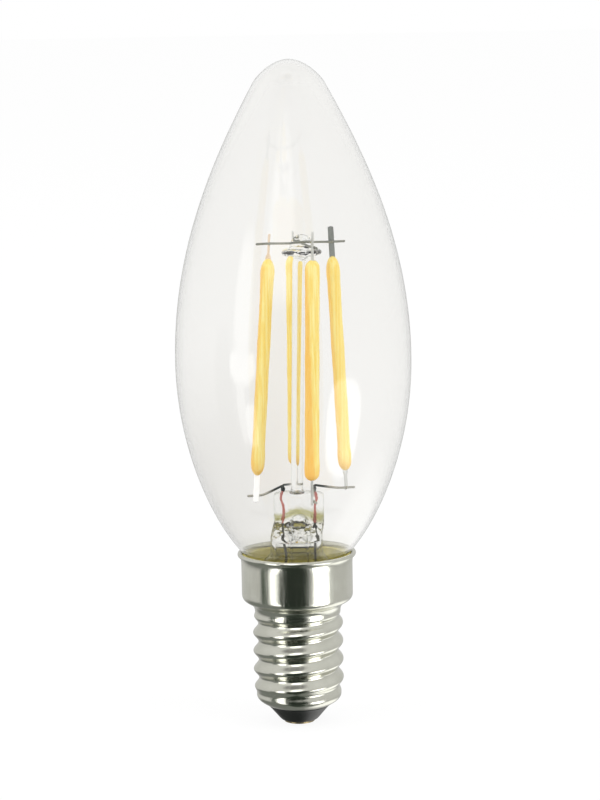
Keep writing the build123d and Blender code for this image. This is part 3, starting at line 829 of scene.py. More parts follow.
class BulbCapSettings(bpy.types.PropertyGroup):
    """Sizes and colours of the screw cap."""

    sheet: bpy.props.FloatProperty(
        name="Sheet", description="Thickness of the sheet", default=0.3 * MM, unit="LENGTH"
    )
    rim_radius: bpy.props.FloatProperty(
        name="Rim Radius", description="Radius of the rim's lip", default=8.97 * MM, unit="LENGTH"
    )
    skirt_radius: bpy.props.FloatProperty(
        name="Skirt Radius", description="Radius of the plain skirt", default=8.42 * MM, unit="LENGTH"
    )
    skirt_height: bpy.props.FloatProperty(
        name="Skirt Height", description="Height of the skirt with its rim", default=6.9 * MM, unit="LENGTH"
    )
    collar_radius: bpy.props.FloatProperty(
        name="Collar Radius", description="Radius over the thread", default=6.5 * MM, unit="LENGTH"
    )
    thread_radius: bpy.props.FloatProperty(
        name="Thread Radius", description="Mean radius of the thread", default=6.45 * MM, unit="LENGTH"
    )
    thread_depth: bpy.props.FloatProperty(
        name="Thread Depth", description="Depth from crest to groove", default=0.8 * MM, unit="LENGTH"
    )
    pitch: bpy.props.FloatProperty(
        name="Pitch", description="Pitch of the thread", default=2.822 * MM, unit="LENGTH"
    )
    thread_start: bpy.props.FloatProperty(
        name="Thread Start", description="Height of a crest on the right side",
        default=12.5 * MM, unit="LENGTH",
    )
    foot_radius: bpy.props.FloatProperty(
        name="Foot Radius", description="Radius of the metal's lower edge", default=4.9 * MM, unit="LENGTH"
    )
    metal: bpy.props.FloatVectorProperty(
        name="Metal", description="Colour of the nickel plate",
        default=(0.8, 0.8, 0.72), subtype="COLOR", size=3,
    )
    tarnish: bpy.props.FloatVectorProperty(
        name="Tarnish", description="Colour of the duller clouds",
        default=(0.68, 0.68, 0.6), subtype="COLOR", size=3,
    )
    cement: bpy.props.FloatVectorProperty(
        name="Cement", description="Colour of the lamp cement",
        default=(0.72, 0.64, 0.2), subtype="COLOR", size=3,
    )


class BulbStageSettings(bpy.types.PropertyGroup):
    """The camera, the floor and the lights."""

    distance: bpy.props.FloatProperty(
        name="Distance", description="Distance of the camera from the axis", default=0.38, unit="LENGTH"
    )
    height: bpy.props.FloatProperty(
        name="Height", description="Height of the camera", default=0.107, unit="LENGTH"
    )
    pitch: bpy.props.FloatProperty(
        name="Pitch", description="Downward tilt in degrees", default=8.613
    )
    roll: bpy.props.FloatProperty(
        name="Roll", description="Roll in degrees", default=1.0
    )
    lens: bpy.props.FloatProperty(
        name="Lens", description="Focal length in millimetres", default=115.3
    )
    floor: bpy.props.FloatVectorProperty(
        name="Floor", description="Colour of the floor", default=(0.8, 0.8, 0.8), subtype="COLOR", size=3
    )
    sky: bpy.props.FloatProperty(
        name="Surround", description="Strength of the even surround light", default=0.85
    )
    key: bpy.props.FloatProperty(
        name="Key Light", description="Power of the lamp on the right", default=9.0, unit="POWER"
    )
    fill: bpy.props.FloatProperty(
        name="Fill Light", description="Power of the lamp on the left", default=7.0, unit="POWER"
    )


# The pieces


def glass_outline(inset, count=40):
    """The flame-shaped side of the bulb: three cubic curves, neck to nose.

    It leaves the neck by the tilt and meets the nose by the lean, both from
    upright, and the length of each handle is a share of its curve's rise.
    """
    glass = bpy.context.scene.bulb_glass
    lean, tilt = np.radians(29.0), np.radians(44.0)
    neck_top = RIM_TOP - glass.neck_below_rim / MM
    drop, widest = glass.nose_drop / MM, glass.widest / MM
    neck = np.array([glass.neck_radius / MM - inset, neck_top])
    join = np.array(
        [glass.nose_radius / MM - inset * np.cos(lean), BULB_TOP - drop - inset * np.sin(lean)]
    )
    middle = np.array([BULB_RADIUS - inset, widest])
    in_and_up = np.array([-np.sin(lean), np.cos(lean)])
    out_and_up = np.array([np.sin(tilt), np.cos(tilt)])
    lower_rise, upper_rise = widest - neck_top, BULB_TOP - drop - widest
    up = np.array([0.0, 1.0])
    lower = bezier(
        [neck, neck + out_and_up * lower_rise * 0.233, middle - up * lower_rise * 0.443, middle], count
    )
    upper = bezier(
        [middle, middle + up * upper_rise * 0.4, join - in_and_up * upper_rise * 0.32, join], count
    )
    top = BULB_TOP - inset
    nose = bezier(
        [join, join + in_and_up * drop * 0.3, (join[0] * 0.47, top), (0.0, top)], count // 2
    )
    return joined(lower, upper, nose)


class BULB_OT_glass(bpy.types.Operator):
    """Blows the clear glass with its neck"""

    bl_idname = "bulb.glass"
    bl_label = "Glass Envelope"

    def execute(self, context):
        wall = context.scene.bulb_glass.wall / MM
        outside, inside = glass_outline(0.0), glass_outline(wall)
        neck_out = run((outside[0, 0], SEAL_LOW), outside[0], 8)
        neck_in = run(inside[0], (inside[0, 0], SEAL_LOW), 8)
        foot = run((inside[0, 0], SEAL_LOW), (outside[0, 0], SEAL_LOW), 3)
        profile = joined(inside[::-1], neck_in, foot, neck_out, outside)
        piece = add_mesh("blown_bulb", [(lathe(profile, 256), False)], material_named("blown_glass"))
        # Painted shade: the glass is greyer low in the bulb and on its left
        mark(piece, "painted_shade", self.painted_shade)
        mark(piece, "cement", self.cement_share)
        dress(piece, ["glass_envelope"])
        return {"FINISHED"}

    def painted_shade(self, points):
        """Painted shade: a faint grey that is stronger low in the bulb and on its left."""
        x, height = points[:, 0], points[:, 2]
        low = smooth_step((62.0 - height) / 24.0)
        return 0.03 * (1 - low) + 0.2 * low * smooth_step((7.0 - x) / 16.0)

    def cement_share(self, points):
        """The cement's colour in the neck, which fades out just over the rim."""
        return 0.13 * (1 - smooth_step((points[:, 2] - RIM_TOP) / 1.8))


def press_foot():
    """The height at which the flat press begins, in millimetres."""
    return PRESS_TOP - bpy.context.scene.bulb_stem.press_height / MM


def neck_inside():
    """The inner radius of the glass neck, in millimetres."""
    glass = bpy.context.scene.bulb_glass
    return (glass.neck_radius - glass.wall) / MM


def stem_sections(count=56):
    """Heights, half widths, half depths, centres and squareness of the stem.

    The trumpet and the tube are round. Above them the half depth falls and the
    half width and the corners' squareness rise, all by one smooth step.
    """
    stem = bpy.context.scene.bulb_stem
    radius, neck, press_low = stem.tube_radius / MM, neck_inside(), press_foot()
    tube_low = SEAL_LOW + stem.flare_height / MM
    trumpet = bezier(
        [
            (neck - 0.02, SEAL_LOW + 1.1),
            (neck - (neck - radius) * 0.75, SEAL_LOW + 1.4),
            (radius, SEAL_LOW + 2.4),
            (radius, tube_low),
        ],
        18,
    )
    heights = np.concatenate(
        [
            [SEAL_LOW, SEAL_LOW + 0.5],
            trumpet[:, 1],
            np.linspace(tube_low, press_low, 16)[1:],
            np.linspace(press_low, PRESS_TOP - PRESS_CROWN, count)[1:],
        ]
    )
    round_radius = np.interp(heights, trumpet[:, 1], trumpet[:, 0])
    share = smooth_step((heights - tube_low - 1.0) / (press_low - tube_low - 1.0))
    half_width = round_radius * (1 - share) + stem.press_width / MM / 2 * share
    half_depth = round_radius * (1 - share) + stem.press_depth / MM / 2 * share
    centre = stem.press_offset / MM * share
    return heights, half_width, half_depth, centre, 2.0 + 2.2 * share


class BULB_OT_stem(bpy.types.Operator):
    """Presses the glass stem on its leads"""

    bl_idname = "bulb.stem"
    bl_label = "Glass Stem"

    def execute(self, context):
        stem = context.scene.bulb_stem
        grid = np.vstack([lathe(self.hollow(stem), 96)[::-1], self.outside(stem)])
        piece = add_mesh("pressed_stem", [(grid, False)], material_named("stem_glass"))
        mark(piece, "crumple", self.crumple)
        mark(piece, "cement", self.cement_share)
        dress(piece, ["stem_flare"])
        return {"FINISHED"}

    def outside(self, stem):
        """Squared circles of the stem's half sizes, under a rounded crown.

        The front gets a pit of exp(-r^6) at the foot of the press, with r the
        distance from its middle in shares of the pit's size, and the press a
        slight wave of sin(1.7 x + 1.1 z).
        """
        heights, width, depth, centre, power = stem_sections()
        rise = np.linspace(0.0, np.pi / 2, 10)[1:]
        heights = np.concatenate([heights, heights[-1] + PRESS_CROWN * np.sin(rise)])
        shrink = np.concatenate([np.ones(len(width)), np.cos(rise) ** 0.6])
        width, depth, centre, power = (
            np.concatenate([values, np.full(len(rise), values[-1])])[:, None]
            for values in (width, depth, centre, power)
        )
        angle = full_turn(96)[None, :]
        c, s = np.cos(angle), np.sin(angle)
        bulge = squared(c, s, power)
        x = centre + width * shrink[:, None] * bulge * c
        y = depth * shrink[:, None] * bulge * s
        z = np.broadcast_to(heights[:, None], x.shape)
        pit_wide, pit_high, pit_deep = 1.25, 1.0, 1.5
        pit_x, pit_z = stem.press_offset / MM, press_foot() - 0.2
        reach = ((x - pit_x) / pit_wide) ** 2 + ((z - pit_z) / pit_high) ** 2
        y = y + np.exp(-(reach**3)) * (y < 0) * pit_deep
        y = y + 0.08 * np.sin(1.7 * x + 1.1 * z) * smooth_step((z - SEAL_LOW - 4) / 3) * s
        return np.stack([x, y, z], -1)

    def hollow(self, stem):
        """The profile of the hole: the trumpet's curve one wall in, then a dome."""
        mouth = neck_inside() - STEM_WALL
        bore = stem.tube_radius / MM - STEM_WALL
        trumpet = bezier(
            [
                (mouth, SEAL_LOW),
                (mouth - (mouth - bore) * 0.75, SEAL_LOW + 0.3),
                (bore, SEAL_LOW + 1.8),
                (bore, SEAL_LOW + stem.flare_height / MM),
            ],
            18,
        )
        rise = np.linspace(0.0, np.pi / 2, 8)
        dome_low = press_foot() - HOLLOW_DROP - STEM_WALL
        return joined(trumpet, np.stack([bore * np.cos(rise), dome_low + STEM_WALL * np.sin(rise)], -1))

    def crumple(self, points):
        """Uneven glass from the hollow's top up, and calmer in the press itself."""
        height = points[:, 2]
        above_hollow = smooth_step((height - press_foot() + HOLLOW_DROP) / 1.5)
        return above_hollow * (1 - 0.6 * smooth_step((height - press_foot()) / 1.2))

    def cement_share(self, points):
        """Half under the cap's rim, and 1 along a wavy band across the press.

        The band's height is its middle plus 0.5 sin(0.9 x + 1.2), and it fades
        out 0.4 mm above and below that line, or 0.8 mm at its right end.
        """
        x, height = points[:, 0], points[:, 2]
        low = 1 - smooth_step((height - RIM_TOP + 0.2) / 0.9)
        middle = press_foot() + 0.7 + 0.5 * np.sin(0.9 * x + 1.2)
        fade = 0.4 + 0.4 * smooth_step((x - 1.5) / 1.5)
        return np.maximum(0.5 * low, np.exp(-(((height - middle) / fade) ** 2)))


class BULB_OT_exhaust(bpy.types.Operator):
    """Draws the exhaust tube and seals its tip"""

    bl_idname = "bulb.exhaust"
    bl_label = "Exhaust Tube"

    def execute(self, context):
        stem = context.scene.bulb_stem
        low, high = box_heights("exhaust_tube")
        outer = stem.exhaust_radius / MM
        inner = outer - EXHAUST_WALL
        turn = np.linspace(0.0, np.pi / 2, 10)
        tip_out = np.stack([outer * np.sin(turn), low + outer - outer * np.cos(turn)], -1)
        tip_in = np.stack([inner * np.sin(turn), low + outer - inner * np.cos(turn)], -1)
        profile = joined(
            tip_out,
            run(tip_out[-1], (outer, high), 12),
            run((outer, high), (inner, high), 3),
            run((inner, high), tip_in[-1], 12),
            tip_in[::-1],
        )
        grid = lathe(profile, 48, (stem.press_offset / MM, 0.0))
        piece = add_mesh("exhaust_pipe", [(grid, False)], material_named("stem_glass"))
        dress(piece, ["exhaust_tube"])
        return {"FINISHED"}


class BULB_OT_rod(bpy.types.Operator):
    """Melts the button on the glass rod"""

    bl_idname = "bulb.rod"
    bl_label = "Rod and Button"

    def execute(self, context):
        stem = context.scene.bulb_stem
        button_low = BUTTON_TOP - BUTTON_HEIGHT
        grid = lathe(self.profile(stem.rod_radius / MM, button_low), 72)
        self.lean_and_dent(grid, stem, button_low)
        piece = add_mesh("rod_with_button", [(grid, False)], material_named("rod_glass"))
        mark(piece, "crumple", lambda points: smooth_step((points[:, 2] - button_low + 0.6) / 0.6))
        piece.data.materials.append(material_named("button_glass"))
        faces = piece.data.polygons
        centres = np.empty(len(faces) * 3, np.float32)
        faces.foreach_get("center", centres)
        in_button = centres[2::3].astype(float) > (button_low - 0.3) * MM
        faces.foreach_set("material_index", in_button.astype(np.int32))
        dress(piece, ["center_rod"])
        return {"FINISHED"}

    def profile(self, radius, low):
        """A rod with a flared foot, and a button of three cubic curves on it."""
        shaft_low, foot_radius = PRESS_TOP - ROD_SINK, radius * 1.25
        turn = np.linspace(0.0, np.pi / 2, 9)
        start = np.stack([foot_radius * np.sin(turn), np.full(len(turn), shaft_low)], -1)
        flare = bezier(
            [
                (foot_radius, shaft_low),
                (radius * 1.02, shaft_low + 0.4),
                (radius, shaft_low + 0.7),
                (radius, shaft_low + 1.2),
            ],
            8,
        )
        brim = 2.3
        under = bezier([(radius, low - 1.0), (radius, low - 0.1), (1.5, low), (brim, low)], 14)
        edge = bezier([(brim, low), (3.1, low), (3.1, low + 0.85), (brim, low + 0.9)], 22)
        dome = bezier(
            [(brim, low + 0.9), (1.3, low + 1.0), (2.0, BUTTON_TOP - 0.1), (0.0, BUTTON_TOP)], 26
        )
        return joined(start, flare, run(flare[-1], under[0], 40), under, edge, dome)

    def lean_and_dent(self, grid, stem, low):
        """Leans the rod along X, and squeezes and dents the button.

        The button's radius grows by 0.03 cos(2a + 0.6) + 0.02 cos(5a), and its
        brim rises by 0.05 sin(3a + 1), with a the angle round the rod.
        """
        foot, head, button = (shift / MM for shift in (stem.rod_foot, stem.rod_head, stem.button))
        shaft_low = PRESS_TOP - ROD_SINK
        share = np.clip((grid[..., 2] - shaft_low) / (low - shaft_low), 0.0, 1.0)
        in_button = smooth_step((grid[..., 2] - low + 1.2) / 1.2)
        angle = np.arctan2(grid[..., 1], grid[..., 0])
        on_brim = np.hypot(grid[..., 0], grid[..., 1]) > 1.2
        swell = 1 + in_button * (0.03 * np.cos(2 * angle + 0.6) + 0.02 * np.cos(5 * angle))
        dent = 0.05 * in_button * np.sin(3 * angle + 1.0) * on_brim
        centre = foot + (head - foot) * share + (button - head) * in_button
        grid[..., 0] = grid[..., 0] * swell + centre
        grid[..., 1] = grid[..., 1] * swell
        grid[..., 2] += dent


def cap_profile():
    """The (radius, height) path round the cap's wall, and the thread's share.

    The path goes up the outside from the lower edge to the rim and comes back
    down the inside, one sheet thickness in.
    """
    cap = bpy.context.scene.bulb_cap
    foot, middle, sheet = cap.foot_radius / MM, cap.thread_radius / MM, cap.sheet / MM
    collar, skirt, rim = cap.collar_radius / MM, cap.skirt_radius / MM, cap.rim_radius / MM
    cone_top = METAL_LOW + CAP_CONE
    thread_low = cone_top + 0.2
    skirt_low = RIM_TOP - cap.skirt_height / MM
    collar_top = skirt_low - SHOULDER_HEIGHT
    under = RIM_TOP - 2 * LIP_RADIUS
    lip_middle, mouth_radius = rim - LIP_RADIUS, skirt - sheet
    cone = bezier(
        [(foot, METAL_LOW), (foot + 0.8, METAL_LOW + 0.45), (middle, cone_top - 0.5), (middle, thread_low)],
        16,
    )
    thread_heights = np.linspace(thread_low, collar_top, 220)
    rise = smooth_step((thread_heights - collar_top + THREAD_RUN_OUT) / THREAD_RUN_OUT)
    thread = np.stack([middle + (collar - middle) * rise, thread_heights], -1)
    bend = (collar + 0.9, collar_top + 1.45)
    shoulder = joined(
        bezier(
            [(collar, collar_top), (collar, collar_top + 0.7), (collar + 0.35, collar_top + 1.15), bend],
            12,
        ),
        bezier(
            [bend, (collar + 1.5, collar_top + 1.8), (skirt, skirt_low - 0.35), (skirt, skirt_low + 0.5)],
            14,
        ),
    )
    sweep = bezier(
        [(skirt, under - 1.3), (skirt, under - 0.5), (skirt + 0.1, under - 0.05), (lip_middle, under)],
        12,
    )
    turn = np.linspace(-np.pi / 2, np.pi / 2, 14)
    lip_height = RIM_TOP - LIP_RADIUS
    lip = np.stack([lip_middle + LIP_RADIUS * np.cos(turn), lip_height + LIP_RADIUS * np.sin(turn)], -1)
    mouth_low = (mouth_radius, under - 0.3)
    mouth = bezier(
        [(lip_middle, RIM_TOP), (skirt + 0.05, RIM_TOP), (mouth_radius, under + 0.5), mouth_low], 12
    )
    outside = joined(cone, thread, shoulder, run(shoulder[-1], sweep[0], 10), sweep, lip, mouth)
    one_sheet = np.array([sheet, 0.0])
    shoulder_in, thread_in, cone_in = shoulder - one_sheet, thread - one_sheet, cone - one_sheet
    inside = joined(
        run(mouth[-1], shoulder_in[-1], 10), shoulder_in[::-1], thread_in[::-1], cone_in[::-1]
    )
    path = joined(outside, inside)
    run_in = smooth_step((path[:, 1] - cone_top) / THREAD_RUN_IN)
    run_out = smooth_step((collar_top - path[:, 1]) / THREAD_RUN_OUT)
    return path, run_in * run_out


class BULB_OT_shell(bpy.types.Operator):
    """Rolls the threaded shell of the screw cap

    The radius is the profile's radius plus half the thread depth times
    cos(2 pi (height - start) / pitch - angle), faded out at both ends.
    """

    bl_idname = "bulb.shell"
    bl_label = "Screw Shell"

    def execute(self, context):
        cap = context.scene.bulb_cap
        path, share = cap_profile()
        angle = full_turn(144)[None, :]
        phase = 2 * np.pi * (path[:, 1][:, None] - cap.thread_start / MM) / (cap.pitch / MM) - angle
        radius = path[:, 0][:, None] + share[:, None] * cap.thread_depth / MM / 2 * np.cos(phase)
        grid = np.empty(radius.shape + (3,))
        grid[..., 0] = radius * np.cos(angle)
        grid[..., 1] = radius * np.sin(angle)
        grid[..., 2] = path[:, 1][:, None]
        piece = add_mesh("threaded_shell", [(grid, True)], material_named("nickel_plate"))
        dress(piece, ["screw_shell"])
        return {"FINISHED"}


class BULB_OT_insulator(bpy.types.Operator):
    """Melts the black glass under the shell"""

    bl_idname = "bulb.insulator"
    bl_label = "Insulator"

    def execute(self, context):
        low, high = box_heights("insulator")
        cap = context.scene.bulb_cap
        foot, sheet = cap.foot_radius / MM, cap.sheet / MM
        hole, tip = 0.7, 2.66
        seat_out = (foot - 0.02, METAL_LOW - 0.03)
        seat_in = (foot - sheet - 0.03, METAL_LOW + 0.02)
        top_edge = (box_reach("insulator") - 0.05, high - 0.1)
        side = bezier(
            [(tip - 0.15, low), (tip + 0.1, low), (tip + 0.3, low + 0.25), (tip + 0.55, low + 0.55)], 8
        )
        profile = joined(
            run((hole, low), side[0], 6),
            side,
            bezier([side[-1], (tip + 1.2, low + 1.3), (foot - 0.5, METAL_LOW - 0.45), seat_out], 12),
            run(seat_out, seat_in, 3),
            run(seat_in, top_edge, 8),
            run(top_edge, (hole, high - 0.1), 6),
            run((hole, high - 0.1), (hole, low), 8),
        )
        piece = add_mesh("black_insulator", [(lathe(profile[:-1], 96), True)], material_named("black_glass"))
        dress(piece, ["insulator"])
        return {"FINISHED"}


class BULB_OT_wires(bpy.types.Operator):
    """Bends the arms, the upper wires, the seal wires and the outer leads"""

    bl_idname = "bulb.wires"
    bl_label = "Wires"

    def execute(self, context):
        wires = context.scene.bulb_wire
        thick = context.scene.bulb_filament.tab_thick / MM
        for name in ARMS:
            self.arm(name, wires, thick)
        height = FILAMENT_HIGH + wires.side_rise / MM
        lower = height - wires.cross_drop / MM
        self.upper_wire("side_wire", "upper_wire_side", ("left", "right"), wires.side_overrun / MM, height)
        self.upper_wire("cross_wire", "upper_wire_cross", ("front", "rear"), wires.overrun / MM, lower)
        for name, lead in (("left", -1), ("right", 1)):
            self.seal_wire(name, lead, wires.seal_radius / MM)
            self.outer_lead(name, lead)
        return {"FINISHED"}

    def arm(self, name, wires, thick):
        """A wire with soft corners from its lead past its tab, sagging by a sine."""
        lead, face, beside = ARMS[name]
        radius = wires.arm_radius / MM
        height = FILAMENT_LOW - ARM_DROP[name]
        side = face * (thick / 2 + radius)
        knot = np.array([lead_x(lead), beside * 2 * radius, PRESS_TOP + KNOT_RISE])
        near = by_filament(name, -1.0, side, height)
        end = by_filament(name, wires.overrun / MM, side, height)
        path = soft_corners([knot - (0, 0, 0.2), knot + (0, 0, 0.65), near, end], 0.6)
        along = np.linspace(0.0, 1.0, len(path))
        path[:, 2] += 0.1 * np.sin(9.0 * along) * along * (1 - along)
        grids = [(tube(path, radius, np.cross(near - knot, (0.0, 0.0, 1.0))), False)]
        if beside == 0:
            grids.append((bead(knot + (0, 0, 0.1), (0.34, 0.3, 0.42)), False))
        grids.append((bead(by_filament(name, 0.0, side, height), (0.26, 0.26, 0.22)), False))
        piece = add_mesh("arm_wire_" + name, grids, material_named("arm_wire"))
        mark(piece, "clean", lambda p: smooth_step((np.linalg.norm(p - knot, axis=1) - 1.2) / 1.8))
        dress(piece, ["arm_" + name])

    def upper_wire(self, name, node, ends, overrun, height):
        """A straight wire with a slight wave, and a bead where it meets each tab."""
        radius = bpy.context.scene.bulb_wire.support_radius / MM
        offset = bpy.context.scene.bulb_filament.tab_thick / MM / 2 + radius
        start = by_filament(ends[0], overrun, offset, height)
        path = run(start, by_filament(ends[1], overrun, -offset, height), 40)
        path[:, 2] += 0.035 * np.sin(np.linspace(0.0, 4 * np.pi, 40))
        grids = [(tube(path, radius, (0.0, 0.0, 1.0)), False)]
        for end, sign in zip(ends, (1, -1)):
            grids.append((bead(by_filament(end, 0.0, sign * offset, height), (0.27, 0.24, 0.24)), False))
        piece = add_mesh(name, grids, material_named("upper_wire"))
        dress(piece, [node])

    def seal_wire(self, name, lead, radius):
        """An upright wire with one outward bend, a slight wave and uneven width."""
        x = lead_x(lead)
        path = run((x, 0.0, press_foot() - 0.5), (x, 0.0, PRESS_TOP + KNOT_RISE), 30)
        kink = lead * 0.3 * np.exp(-(((path[:, 2] - PRESS_TOP + 1.1) / 0.7) ** 2))
        path[:, 0] += kink + 0.04 * np.sin(np.linspace(0.0, 5.0, 30))
        swell = radius * (0.86 + 0.12 * np.sin(np.linspace(0.0, 9.0, 30)))
        piece = add_mesh("red_wire_" + name, [(tube(path, swell), False)], material_named("red_seal_wire"))
        dress(piece, ["seal_wire_" + name])

    def outer_lead(self, name, lead):
        """A dark wire down through the stem. The left one bows out on its way."""
        x, low = lead_x(lead), box_heights("outer_lead_" + name)[0]
        bow = 1.6 if lead < 0 else 0.0
        in_cap = lead * 3.3
        points = [
            (x, 0.0, press_foot() - 0.5),
            (x, 0.0, press_foot() - 3.3),
            (x + bow * 0.3, -bow, SEAL_LOW + 2.2),
            (in_cap, 0.05, low + 3.3),
            (in_cap, 0.05, low),
        ]
        grid = tube(soft_corners(points, 1.2), 0.19)
        piece = add_mesh("lead_wire_" + name, [(grid, False)], material_named("dark_wire"))
        dress(piece, ["outer_lead_" + name])


def filament_line(name):
    """The lower end, direction and length of a filament, outwards, sideways."""
    foot, head = filament_ends(name)
    length = np.linalg.norm(head - foot)
    along = (head - foot) / length
    away = outward(name)
    sideways = np.array([-away[1], away[0], 0.0])
    return foot, along, length, np.cross(sideways, along), sideways


class BULB_OT_filaments(bpy.types.Operator):
    """Moulds the silicone of each filament and lays its tabs"""

    bl_idname = "bulb.filaments"
    bl_label = "Filaments"

    def execute(self, context):
        mount = context.scene.bulb_filament
        for number, name in enumerate(FOOT_ANGLE):
            line = filament_line(name)
            length = line[2]
            self.coat(name, number, line, mount.coat_radius / MM)
            finish = LOWER_TAB_FINISH.get(name, "plated_tab")
            self.tab("lower", name, line, (TAB_SINK, -1.0, LOWER_TAB[name] + TAB_SINK), finish)
            finish = UPPER_TAB_FINISH.get(name, "plated_tab")
            self.tab("upper", name, line, (length - TAB_SINK, 1.0, UPPER_TAB[name] + TAB_SINK), finish)
        return {"FINISHED"}

    def coat(self, name, number, line, radius):
        """The radius swells near both ends, waves slowly and closes in a dome.

        The dome is sqrt(1 - (1 - d / taper)^2), with d the distance from the
        nearer end. The section is 3% narrower outwards and 8% wider sideways.
        """
        foot, along, length, outwards, sideways = line
        t = np.linspace(0.0, 1.0, 140)
        distance = (0.5 - 0.5 * np.cos(np.pi * t)) * length
        from_end = np.minimum(distance, length - distance)
        taper = np.where(distance < length / 2, LOWER_TAPER[name], UPPER_TAPER[name])
        dome = np.sqrt(np.clip(1 - (1 - np.clip(from_end / taper, 0, 1)) ** 2, 0, 1))
        swell = 1.0 + 0.07 * np.exp(-(((from_end - 2.3) / 1.2) ** 2))
        waves = 1.0 + 0.02 * np.sin(0.7 * distance + number) + 0.012 * np.sin(2.3 * distance + 2 * number)
        radii = (radius * dome * swell * waves)[:, None]
        turn = full_turn(40)[None, :]
        out = radii * np.cos(turn) * 0.97
        beside = radii * np.sin(turn) * 1.08
        centre = foot + distance[:, None] * along
        grid = centre[:, None] + out[..., None] * outwards + beside[..., None] * sideways
        piece = add_mesh("silicone_" + name, [(grid, False)], material_named("yellow_silicone"))
        mark(piece, "face", lambda points: self.face_share(points - foot, name, line))
        dress(piece, ["filament_coat_" + name])

    def face_share(self, points, name, line):
        """1 over the chips, falling to 0 towards one edge and at the lower end.

        The edge lies in a direction that is turned from outwards by an angle.
        """
        outwards, sideways = line[3:]
        angle = np.radians(EDGE_TURN[name])
        edge = points @ (outwards * np.cos(angle) + sideways * np.sin(angle))
        at_foot = smooth_step((points @ line[1] - 0.4) / 2.6)
        at_edge = EDGE_SHARE[name] * smooth_step((edge - EDGE_START[name]) / 0.5)
        return (1 - at_edge) * (0.35 + 0.65 * at_foot)

    def tab(self, end, name, line, place, finish):
        """A strip with a squared circle of power 6 as its section.

        It is 7% wider and 30% thinner at its weld, and twists outside the coat.
        """
        foot, along, _, outwards, sideways = line
        start, sign, reach = place
        mount = bpy.context.scene.bulb_filament
        width, thick = mount.tab_width / MM, mount.tab_thick / MM
        t = np.linspace(0.0, 1.0, 36)
        distance = start + sign * t * reach
        close = np.clip(np.minimum(t, 1 - t) * reach / 0.08, 0.0, 1.0) ** 0.5
        turn = full_turn(24)[None, :]
        c, s = np.cos(turn), np.sin(turn)
        bulge = squared(c, s, 6)
        weld = np.exp(-(((t * reach - reach + 1.6) / 0.3) ** 2))[:, None]
        across = width / 2 * bulge * c * close[:, None] * (1 + 0.07 * weld)
        deep = thick / 2 * bulge * s * close[:, None] * (1 - 0.3 * weld)
        centre = foot + distance[:, None] * along
        most = np.radians(TAB_TWIST.get(end + "_" + name, 0.0))
        twist = (most * smooth_step((t * reach - TAB_SINK) / 0.8))[:, None]
        wide = outwards * np.cos(twist) + sideways * np.sin(twist)
        flat = sideways * np.cos(twist) - outwards * np.sin(twist)
        grid = centre[:, None] + across[..., None] * wide[:, None] + deep[..., None] * flat[:, None]
        piece = add_mesh(end + "_strip_" + name, [(grid, False)], material_named(finish))
        dress(piece, [end + "_tab_" + name])


class BULB_OT_inside_parts(bpy.types.Operator):
    """Gives the carried-over pieces in the cap and the filaments their finish"""

    bl_idname = "bulb.inside_parts"
    bl_label = "Inside Parts"

    def execute(self, context):
        finishes = {
            "tip_contact": "brass_plate",
            "contact_solder": "solder",
            "cement_ring": "lamp_cement",
            "driver_board": "board_laminate",
            "rectifier": "moulded_case",
            "driver_chip": "moulded_case",
            "smoothing_capacitor": "pale_ceramic",
            "sense_resistor": "moulded_case",
            "fuse_resistor": "pale_ceramic",
            "shell_lead": "dark_wire",
        }
        for name in FOOT_ANGLE:
            finishes["filament_strip_" + name] = "pale_ceramic"
            finishes["filament_chips_" + name] = "chip_crystal"
        for node, finish in finishes.items():
            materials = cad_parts[node].data.materials
            for index in range(len(materials)):
                materials[index] = material_named(finish)
        return {"FINISHED"}


# The studio


def add_light(name, place, target, size, power):
    """A rectangular lamp that looks from its place at a target."""
    light = bpy.data.lights.new(name, "AREA")
    light.shape = "RECTANGLE"
    light.size, light.size_y = size
    light.energy = power
    lamp = bpy.data.objects.new(name, light)
    lamp.location = place
    lamp.rotation_euler = (Vector(target) - Vector(place)).to_track_quat("-Z", "Y").to_euler()
    bpy.context.scene.collection.objects.link(lamp)
    return lamp


def patch_share(azimuth, elevation, middle, half, soft):
    """1 inside a rounded patch of directions, falling softly to 0 outside.

    The distance from its middle is the cube root of |a / A|^3 + |e / E|^3.
    """
    a = (azimuth - middle[0]) / half[0]
    e = (elevation - middle[1]) / half[1]
    distance = (np.abs(a) ** 3 + np.abs(e) ** 3) ** (1 / 3)
    return 1 - smooth_step((distance - 1) / soft + 0.5)


def mirrored_level(azimuth, elevation):
    """How bright the studio is in a direction: a soft rise with patches on it."""
    level = 0.2 + 0.42 * smooth_step((elevation + 52) / 46) + 0.08 * smooth_step((elevation - 5) / 50)
    for middle, half, soft, value in MIRRORED.values():
        share = patch_share(azimuth, elevation, middle, half, soft)
        level = level * (1 - share) + value * share
    return level


def mirrored_light():
    """A glow of the level that the sphere stores, greener where it is dark."""
    material = bpy.data.materials.new("mirrored_light")
    material.use_nodes = True
    tree = material.node_tree
    tree.nodes.remove(tree.nodes["Principled BSDF"])
    glow = tree.nodes.new("ShaderNodeEmission")
    strength = attribute_value(tree, "level")
    bright = stretched(tree, strength, {"From Max": 0.25})
    dark_hue, bright_hue = (0.85, 1.15, 0.85, 1.0), (1.0, 1.0, 0.98, 1.0)
    tree.links.new(colour_mix(tree, bright, dark_hue, bright_hue), glow.inputs["Color"])
    tree.links.new(strength, glow.inputs["Strength"])
    tree.links.new(glow.outputs[0], tree.nodes["Material Output"].inputs["Surface"])
    return material


